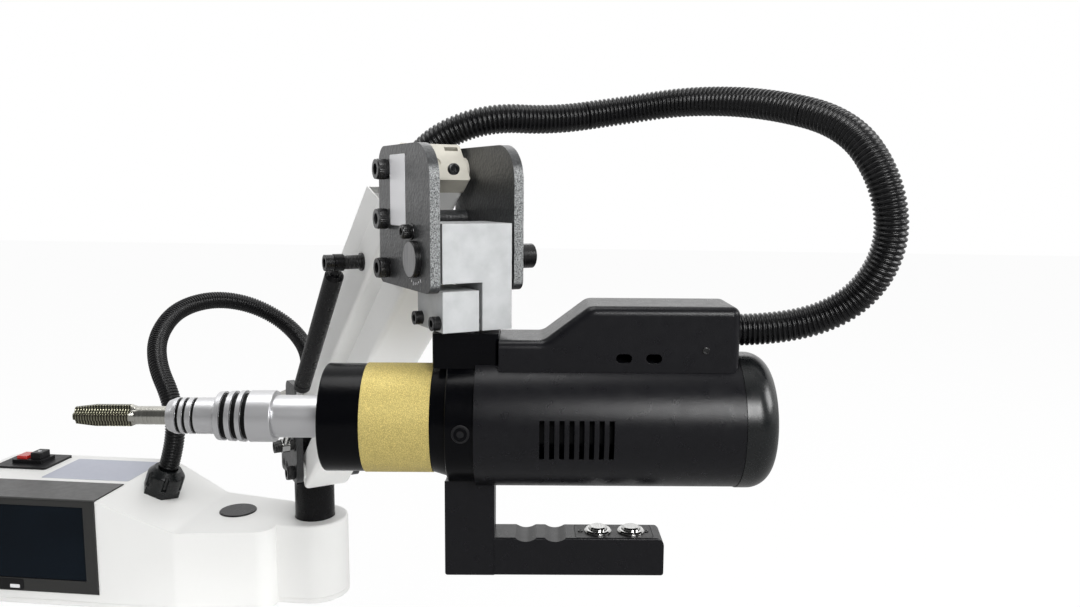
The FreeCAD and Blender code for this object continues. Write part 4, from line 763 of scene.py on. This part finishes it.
@dataclass(frozen=True)
class Lamp:
    """One soft square lamp, turned to the machine's middle."""

    name: str
    place: Point
    size: float
    power: float
    target: Point = (0.1, -0.2, 0.3)

    def hang(self) -> None:
        """Set the lamp in the scene."""
        data = bpy.data.lights.new(self.name, "AREA")
        data.energy, data.size = self.power, self.size
        lamp = bpy.data.objects.new(self.name, data)
        lamp.location = self.place
        aim = Vector(self.target) - Vector(self.place)
        lamp.rotation_euler = aim.to_track_quat("-Z", "Y").to_euler()
        bpy.context.scene.collection.objects.link(lamp)


@dataclass
class Studio:
    """The camera, lamps and floor around the machine."""

    camera_place: Point = (407.1, -1065.6, 523.0)
    heading: tuple[float, float] = (-0.1066, 0.9943)
    pitch_down: float = 7.29
    roll: float = 0.44
    lens: float = 29.3
    sensor: float = 36.0
    floor_size: float = 14.0
    floor_glow: float = 0.96
    floor_mirrored: float = 0.45
    room_level: float = 0.34
    dark_side: float = 0.10
    dark_span: tuple[float, float] = (-0.45, 0.20)
    lamps: tuple[Lamp, ...] = (
        Lamp("key_lamp", (1.2, -2.0, 1.3), 0.8, 36.0),
        Lamp("right_lamp", (2.2, -0.5, 1.2), 0.8, 22.0),
        Lamp("left_lamp", (-1.8, -1.2, 1.6), 0.5, 3.0),
        Lamp("top_lamp", (0.0, -0.3, 2.3), 1.0, 16.0),
        Lamp("back_lamp", (0.4, 1.6, 1.8), 1.4, 8.0),
    )

    def aim_camera(self) -> None:
        """Set the camera at the photograph's view."""
        ahead = Vector((*self.heading, 0.0)).normalized()
        pitch, roll = math.radians(self.pitch_down), math.radians(self.roll)
        forward = math.cos(pitch) * ahead - math.sin(pitch) * UP
        upward = math.sin(pitch) * ahead + math.cos(pitch) * UP
        right = forward.cross(upward)
        tilted = math.cos(roll) * right + math.sin(roll) * upward
        top = tilted.cross(forward)
        data = bpy.data.cameras.new("camera")
        data.lens, data.sensor_width = self.lens, self.sensor
        data.clip_start, data.clip_end = 0.01, 60.0
        camera = bpy.data.objects.new("camera", data)
        bpy.context.scene.collection.objects.link(camera)
        turned = Matrix((tilted, top, -forward)).transposed().to_4x4()
        camera.matrix_world = Matrix.Translation(Vector(self.camera_place) * MM) @ turned
        bpy.context.scene.camera = camera

    def lay_floor(self) -> None:
        """Lay the pale floor, which glows to the camera and is dimmer in mirrors."""
        tree = FinishTree("pale_floor")
        seen = tree.ray(Ray.SEEN) * self.floor_glow
        mirrored = tree.ray(Ray.MIRRORED) * self.floor_glow
        soft = tree.fade(tree.noise(3.0), 0.3, 0.7, (0.88, 0.90))
        matt = tree.node("BsdfDiffuse", Color=tree.mix(soft, BLACK, WHITE))
        dim = tree.node("Emission", Color=WHITE, Strength=self.floor_mirrored)
        glow = tree.node("Emission", Color=WHITE, Strength=1.0)
        lit = tree.node("MixShader", i0=mirrored, i1=matt, i2=dim)
        tree.node("OutputMaterial", Surface=tree.node("MixShader", i0=seen, i1=lit, i2=glow))
        half = self.floor_size / 2.0
        corners = [(-half, -half, 0), (half, -half, 0), (half, half, 0), (-half, half, 0)]
        data = bpy.data.meshes.new("floor")
        data.from_pydata(corners, [], [(0, 1, 2, 3)])
        data.materials.append(tree.material)
        floor = bpy.data.objects.new("floor", data)
        bpy.context.scene.collection.objects.link(floor)

    def light(self) -> None:
        """Hang the soft lamps and light the room, whose near side is dark in mirrors."""
        world = bpy.data.worlds.new("studio")
        bpy.context.scene.world = world
        tree = NodeTree(world)
        across = tree.node("SeparateXYZ", out="Y", Vector=tree.node("TexCoord", out="Generated"))
        backdrop = tree.fade(across, *self.dark_span, (self.dark_side, 1.0))
        mirrored = tree.choose(Ray.MIRRORED, self.room_level, backdrop)
        passed = tree.choose(Ray.PASSED, mirrored, 1.0)
        level = tree.choose(Ray.SEEN, passed, 1.0)
        tree.node("OutputWorld", Surface=tree.node("Background", Color=WHITE, Strength=level))
        for lamp in self.lamps:
            lamp.hang()

    def build(self) -> None:
        """Set up the whole studio."""
        bpy.context.scene.view_settings.view_transform = "Standard"
        self.aim_camera()
        self.lay_floor()
        self.light()


@dataclass(frozen=True)
class Face:
    """A flat face of the machine, with its own two axes, that small pieces are laid on."""

    origin: Vector
    across: Vector
    up: Vector = UP

    def at(self, x: float, y: float, proud: float = 0.0) -> Vector:
        """The point at x and y on the face, in millimetres, so far proud of it."""
        return self.origin + self.across * x + self.up * y + self.facing() * proud

    def facing(self) -> Vector:
        """The direction that the face looks in."""
        return self.across.cross(self.up)

    def matrix(self, x: float, y: float, proud: float = 0.0) -> Matrix:
        """The place of a piece drawn in millimetres on the level plane."""
        turn = Matrix((self.across, self.up, self.facing())).transposed().to_4x4()
        return Matrix.Translation(self.at(x, y, proud) * MM) @ turn @ Matrix.Diagonal((MM, MM, MM, 1.0))


PLATE_OUT = 38.5
PLATES_LEFT = Face(-PLATE_OUT * ARM_LEFT, ARM_OUT)
PLATES_RIGHT = Face(PLATE_OUT * ARM_LEFT, -ARM_OUT)
LINK_END = Face(461.0 * ARM_OUT, ARM_LEFT)
HEAD_NEAR = Face(HEAD_ORIGIN, HEAD_OUT)
HEAD_AXIS = Face(HEAD_ORIGIN + HEAD_AXIS_LEVEL * UP, HEAD_BACK)
GRIP_TOP = Face(HEAD_ORIGIN + 250.0 * UP, HEAD_OUT, HEAD_BACK)
BOX_TOP = Face(137.5 * UP, EAST, NORTH)
BOX_FRONT = Face(-85.6 * NORTH, EAST)
START_TOP = Face(154.5 * UP, EAST, NORTH)


@dataclass(frozen=True)
class Tile:
    """A thin plate with round corners."""

    name: str
    finish: Finish
    body: Body
    width: float
    height: float
    corner: float = 1.5
    thickness: float = 0.3
    edge: float = 0.08

    def outline(self, inset: float, level: float) -> list[Point]:
        """The plate's outline at a level, so far inside its edge."""
        corner = max(self.corner - inset, 0.05)
        half_x, half_y = 0.5 * self.width - inset - corner, 0.5 * self.height - inset - corner
        points = []
        for sign_x, sign_y, start in ((1, 1, 0), (-1, 1, 90), (-1, -1, 180), (1, -1, 270)):
            for step in range(7):
                angle = math.radians(start + 15 * step)
                x = sign_x * half_x + corner * math.cos(angle)
                y = sign_y * half_y + corner * math.sin(angle)
                points.append((x, y, level))
        return points

    def lay(self, face: Face, x: float, y: float, proud: float = 0.02) -> bpy.types.Object:
        """Lay the plate on a face, with its middle at x and y."""
        piece = SmallPiece(self.name, self.finish, self.body)
        low, high = self.thickness - self.edge, self.thickness
        piece.loft([self.outline(0.0, 0.0), self.outline(0.0, low), self.outline(self.edge, high)])
        return piece.place(face.matrix(x, y, proud))


@dataclass(frozen=True)
class Disc:
    """A flat round piece with a chamfered rim."""

    name: str
    finish: Finish
    body: Body
    radius: float
    height: float
    chamfer: float = 0.25

    def lay(self, face: Face, x: float, y: float, proud: float = 0.0) -> bpy.types.Object:
        """Lay the disc on a face, with its middle at x and y."""
        piece = SmallPiece(self.name, self.finish, self.body)
        wide, high = self.radius, self.height
        rim, shoulder = wide - self.chamfer, high - self.chamfer
        steps = ((rim, 0.0), (wide, self.chamfer), (wide, shoulder), (rim, high))
        piece.loft([circle(radius, level, ROUND_SIDES) for radius, level in steps])
        return piece.place(face.matrix(x, y, proud))


@dataclass(frozen=True)
class KnurlSleeve:
    """The knurled skin round a screw's head."""

    name: str
    body: Body
    radius: float
    height: float
    ribs: int = 30
    depth: float = 0.35
    wave: tuple[float, ...] = (0.0, 0.7, 1.0, 0.7)
    foot_share: float = 0.12
    top_share: float = 0.86
    inner_share: float = 0.97
    lead: float = 0.3
    finish: Finish = BLACK_OXIDE

    def ring(self, level: float, depth: float) -> list[Point]:
        """The ribbed outline at a level."""
        points = []
        count = len(self.wave) * self.ribs
        for i in range(count):
            angle = 2.0 * math.pi * i / count
            reach = self.radius + depth * self.wave[i % len(self.wave)]
            points.append((reach * math.cos(angle), reach * math.sin(angle), level))
        return points

    def lay(self, face: Face, x: float, y: float, proud: float = 0.0) -> bpy.types.Object:
        """Lay the sleeve on a face, round a head at x and y."""
        piece = SmallPiece(self.name, self.finish, self.body)
        bottom, top = self.foot_share * self.height, self.top_share * self.height
        inner, outer = (
            [(self.inner_share * a, self.inner_share * b, c) for a, b, c in self.ring(level, 0.0)]
            for level in (bottom, top)
        )
        soft = self.lead * self.depth
        rings = [
            inner, self.ring(bottom, soft), self.ring(bottom + self.lead, self.depth),
            self.ring(top - self.lead, self.depth), self.ring(top, soft), outer,
        ]
        piece.loft(rings, closed=True)
        return piece.place(face.matrix(x, y, proud))


@dataclass
class Base:
    """The white control box, with its column, switch, plug and gland."""

    plate_middle: tuple[float, float] = (-315.0, 35.5)
    pocket_middle: tuple[float, float] = (-367.5, 25.6)
    tongue_middle: tuple[float, float] = (-362.3, 23.2)
    mark_middle: tuple[float, float] = (-419.5, 53.0)

    def build(self) -> None:
        """Dress the base and add its small pieces."""
        dress(BASE_WHITE, "base_housing", "base_plate")
        dress(BLACK_ENAMEL, "column_post")
        dress(BEZEL_GREY, "screen_bezel")
        dress(SCREEN, "touch_screen")
        dress(BLACK_MOULD, "switch_frame", "mains_inlet", "drive_module", "start_button")
        dress(CHARCOAL, "platform_plug")
        dress(GLOSS_BLACK, "base_gland")
        dress(RED_CAP, "stop_button")
        Tile("blank_plate", LABEL_BLANK, Body.BASE, 124.0, 83.0, corner=3.0).lay(BOX_TOP, *self.plate_middle)
        Tile("bezel_pocket", BLACK_MOULD, Body.BASE, 34.0, 14.0, corner=2.5, thickness=0.5).lay(
            BOX_FRONT, *self.pocket_middle
        )
        Tile("bezel_tongue", LABEL_WHITE, Body.BASE, 13.0, 4.6, corner=1.0, thickness=0.5).lay(
            BOX_FRONT, *self.tongue_middle, proud=0.45
        )
        Tile("start_mark", LABEL_WHITE, Body.START_BUTTON, 4.2, 4.2, corner=0.6, thickness=0.25).lay(
            START_TOP, *self.mark_middle
        )


@dataclass
class Turret:
    """The turret on the column, with its plates and cover."""

    screw_radius: float = 5.0
    screw_height: float = 0.8
    screw_places: tuple[float, float] = (1.0, 17.0)
    screw_level: float = 179.0
    pin_radius: float = 8.0
    pin_height: float = 10.0
    pin_out: float = 59.0
    pin_levels: tuple[float, float] = (182.0, 262.0)

    def build(self) -> None:
        """Dress the turret and add its plate screws."""
        dress(BLACK_ENAMEL, "turret_hub")
        # the turret plates' front faces take painted shade
        dress(FRONT_SHADED_ENAMEL, "turret_plate_left", "turret_plate_right")
        dress(BUSH_BRONZE, "turret_bush")
        dress(BLACK_OXIDE, "turret_pivot_pins", "gas_lower_stud")
        # the cover's darker, warmer white is painted shade
        dress(SHADED_COVER_WHITE, "turret_cover")
        for side, face, sign in (("left", PLATES_LEFT, 1.0), ("right", PLATES_RIGHT, -1.0)):
            for i, out in enumerate(self.screw_places):
                screw = SocketHead(f"hub_screw_{side}_{i}", Body.TURRET, self.screw_radius, self.screw_height)
                screw.build(face.at(sign * out, self.screw_level), face.facing())
        for i, level in enumerate(self.pin_levels):
            knurl = KnurlSleeve(f"turret_pin_knurl_{i}", Body.TURRET, self.pin_radius, self.pin_height)
            knurl.lay(PLATES_LEFT, self.pin_out, level)


@dataclass
class ParallelArm:
    """The two links of the arm, their end blocks, the cable tray and the gas spring."""

    bolt_place: tuple[float, float] = (0.0, 539.67)

    def build(self) -> None:
        """Dress the arm and set the bolt in its end block."""
        dress(ARM_WHITE, "upper_link", "lower_link", "lower_link_end", "cable_tray")
        dress(END_BEIGE, "upper_link_end")
        dress(BLACK_OXIDE, "gas_upper_stud")
        dress(POLISHED, "gas_rod")
        dress(BLACK_ENAMEL, "gas_cylinder")
        bolt = SocketHead("end_bolt", Body.UPPER_ARM, 4.6, 3.4)
        bolt.build(LINK_END.at(*self.bolt_place, proud=-2.0), LINK_END.facing())


@dataclass
class Fork:
    """The fork that carries the head, with its knuckle."""

    pin_out: float = 413.12
    pin_levels: tuple[float, ...] = (459.67, 499.67, 539.67)
    disc_place: tuple[float, float] = (475.0, 470.7)
    scale_radius: float = 17.6
    lock_place: tuple[float, float] = (467.5, 491.5)
    plate_place: tuple[float, float] = (438.1, 523.0)
    pin_radius: float = 8.0
    pin_height: float = 10.0
    lock_radius: float = 5.2
    lock_height: float = 7.5
    lock_proud: float = 1.0
    tick_count: int = 9
    tick_start: float = -150.0
    tick_turn: float = 12.0
    tick_half: float = 0.3
    tick_lengths: tuple[float, ...] = (3.2, 2.0, 2.0, 2.0)

    def build(self) -> None:
        """Dress the fork and the knuckle, and add the fork's small pieces."""
        # the fork plates' pale front faces are painted light
        dress(HAMMERED, "fork_plate_left", "fork_plate_right")
        # the spacer's front faces take painted shade
        dress(FRONT_SHADED_ENAMEL, "fork_spacer")
        dress(BLACK_OXIDE, "fork_pivot_pins", "tilt_pin", "clamp_screws")
        dress(ALUMINIUM, "knuckle_block", "clamp_block")
        for i, level in enumerate(self.pin_levels):
            knurl = KnurlSleeve(f"fork_pin_knurl_{i}", Body.FORK, self.pin_radius, self.pin_height)
            knurl.lay(PLATES_LEFT, self.pin_out, level)
        Tile("fork_plate_bare", LABEL_WHITE, Body.FORK, 34.5, 56.0).lay(PLATES_LEFT, *self.plate_place)
        washer = SocketHead("lock_washer", Body.FORK, 6.6, 1.2)
        washer.build(PLATES_LEFT.at(*self.lock_place), PLATES_LEFT.facing())
        lock = SocketHead("lock_screw", Body.FORK, self.lock_radius, self.lock_height)
        lock.build(PLATES_LEFT.at(*self.lock_place, proud=self.lock_proud), PLATES_LEFT.facing())
        knurl = KnurlSleeve("lock_knurl", Body.FORK, self.lock_radius, self.lock_height, ribs=24)
        knurl.lay(PLATES_LEFT, *self.lock_place, proud=self.lock_proud)
        Disc("tilt_cap", BLACK_OXIDE, Body.FORK, 14.3, 3.2).lay(PLATES_LEFT, *self.disc_place, proud=1.45)
        Disc("tilt_cap_face", PIN_FACE, Body.FORK, 13.5, 0.4).lay(PLATES_LEFT, *self.disc_place, proud=4.6)
        self.scale()

    def scale(self) -> None:
        """Lay bare tick marks round the tilt pin."""
        half = self.tick_half
        for i in range(self.tick_count):
            angle = math.radians(self.tick_start + self.tick_turn * i)
            long = self.tick_lengths[i % len(self.tick_lengths)]
            out = Vector((math.cos(angle), math.sin(angle)))
            beside = Vector((-out.y, out.x))
            piece = SmallPiece(f"tilt_tick_{i}", LABEL_WHITE, Body.FORK)
            corners = [
                out * (self.scale_radius + a) + beside * b
                for a, b in ((0.0, -half), (long, -half), (long, half), (0.0, half))
            ]
            piece.loft([[(c.x, c.y, level) for c in corners] for level in (0.0, 0.15)])
            piece.place(PLATES_LEFT.matrix(*self.disc_place, proud=0.02))


@dataclass
class DriveHead:
    """The motor head with its gearbox, hump, handle and buttons."""

    panel_screws: tuple[float, ...] = (93.4, 146.6)
    button_place: tuple[float, float] = (0.8, HEAD_AXIS_LEVEL)
    shell_screw: tuple[float, float] = (39.8, 340.0)
    hump_screw: tuple[float, float] = (184.5, 404.4)
    shell_radius: float = 50.0
    hump_half: float = 31.0

    def build(self) -> None:
        """Dress the head and add its small screws."""
        dress(BARE_STEEL, "swivel_stub")
        dress(JET_ENAMEL, "motor_core", "mount_block", "motor_collar", "gearbox_flange", "gearbox_nose")
        dress(CHARCOAL, "motor_shell", "motor_hump", "handle_bracket", "handle_grip")
        dress(GLOSS_BLACK, "motor_cap")
        dress(GOLD, "gearbox_ring")
        dress(BLACK_MOULD, "button_panel")
        dress(POLISHED, "push_bezels", "forward_button", "reverse_button")
        for i, out in enumerate(self.panel_screws):
            screw = SocketHead(f"panel_screw_{i}", Body.HEAD, 2.2, 0.7)
            screw.build(GRIP_TOP.at(out, 0.0), GRIP_TOP.facing())
        button = Disc("collar_button", BLACK_MOULD, Body.HEAD, 7.0, 1.2, chamfer=0.5)
        button.lay(HEAD_NEAR, *self.button_place, proud=self.shell_radius - 0.3)
        drop = self.shell_screw[1] - HEAD_AXIS_LEVEL
        near = math.sqrt(self.shell_radius ** 2 - drop ** 2)
        slope = (HEAD_NEAR.facing() * near + UP * drop).normalized()
        shell = SocketHead("shell_screw", Body.HEAD, 2.6, 0.8)
        shell.build(HEAD_NEAR.at(*self.shell_screw, proud=near - 0.2), slope)
        hump = SocketHead("hump_screw", Body.HEAD, 2.8, 0.8)
        hump.build(HEAD_NEAR.at(*self.hump_screw, proud=self.hump_half - 0.1), HEAD_NEAR.facing())


@dataclass
class Chuck:
    """The quick-change chuck with its adaptor and tap."""

    sleeve_span: tuple[float, float] = (-194.2, -147.1)
    sleeve_shares: tuple[float, ...] = (0.15, 0.33, 0.5)
    sleeve_floor: float = 17.6
    adaptor_span: tuple[float, float] = (-233.1, -194.2)
    adaptor_shares: tuple[float, ...] = (0.24, 0.38, 0.55)
    adaptor_floor: float = 13.2

    def shade_groove(self, name: str, body: Body, out: float, floor: float, width: float) -> None:
        """Set a dark ring of painted shade in a groove, with its middle so far out on the axis."""
        piece = SmallPiece(name, GROOVE_SHADE, body)
        half, inner, outer, crown = 0.5 * width, floor - 0.3, floor + 0.4, floor + 0.5
        profile = ((inner, -half), (outer, -half), (crown, 0.0), (outer, half), (inner, half))
        piece.loft([circle(radius, level, ROUND_SIDES) for radius, level in profile], closed=True)
        piece.place(HEAD_AXIS.matrix(0.0, 0.0, proud=out))

    def build(self) -> None:
        """Dress the chuck and fill its grooves with dark rings of painted shade."""
        dress(BARE_STEEL, "spindle", "chuck_sleeve", "tap_adaptor")
        dress(TAP_STEEL, "tap")
        for name, body, span, shares, floor, width in (
            ("sleeve_groove_shade", Body.SLEEVE, self.sleeve_span, self.sleeve_shares, self.sleeve_floor, 4.0),
            ("adaptor_groove_shade", Body.SPINDLE, self.adaptor_span, self.adaptor_shares, self.adaptor_floor, 2.3),
        ):
            for i, share in enumerate(shares):
                out = span[0] + share * (span[1] - span[0])
                self.shade_groove(f"{name}_{i}", body, out, floor, width)


@dataclass
class Hoses:
    """The hose stretches, from the base's gland to the head."""

    plain: float = 9.0

    def build(self) -> None:
        """Lay each stretch over its joint."""
        for name, node, start, stop, route, plain_start, plain_stop in (
            ("lower_hose_laid", "lower_hose", Body.BASE, Body.TURRET, LOWER_ROUTE, self.plain, self.plain),
            ("rear_hose_laid", "upper_hose_rear", Body.UPPER_ARM, Body.FORK, REAR_ROUTE, self.plain, 0.0),
            ("middle_hose_laid", "upper_hose_middle", Body.FORK, Body.KNUCKLE, MIDDLE_ROUTE, 0.0, 0.0),
            ("front_hose_laid", "upper_hose_front", Body.KNUCKLE, Body.HEAD, FRONT_ROUTE, 0.0, self.plain),
        ):
            CorrugatedHose(
                name, node, start, stop, route, plain_start=plain_start, plain_stop=plain_stop
            ).build()


def main() -> None:
    """Build the whole scene, one sub-assembly after another."""
    logging.basicConfig(level=logging.INFO, format="%(message)s")
    for part in (Studio(), Base(), Turret(), ParallelArm(), Fork(), DriveHead(), Chuck(), Hoses()):
        part.build()
        LOG.info("%s is in place", type(part).__name__)


if __name__ == "__main__":
    main()
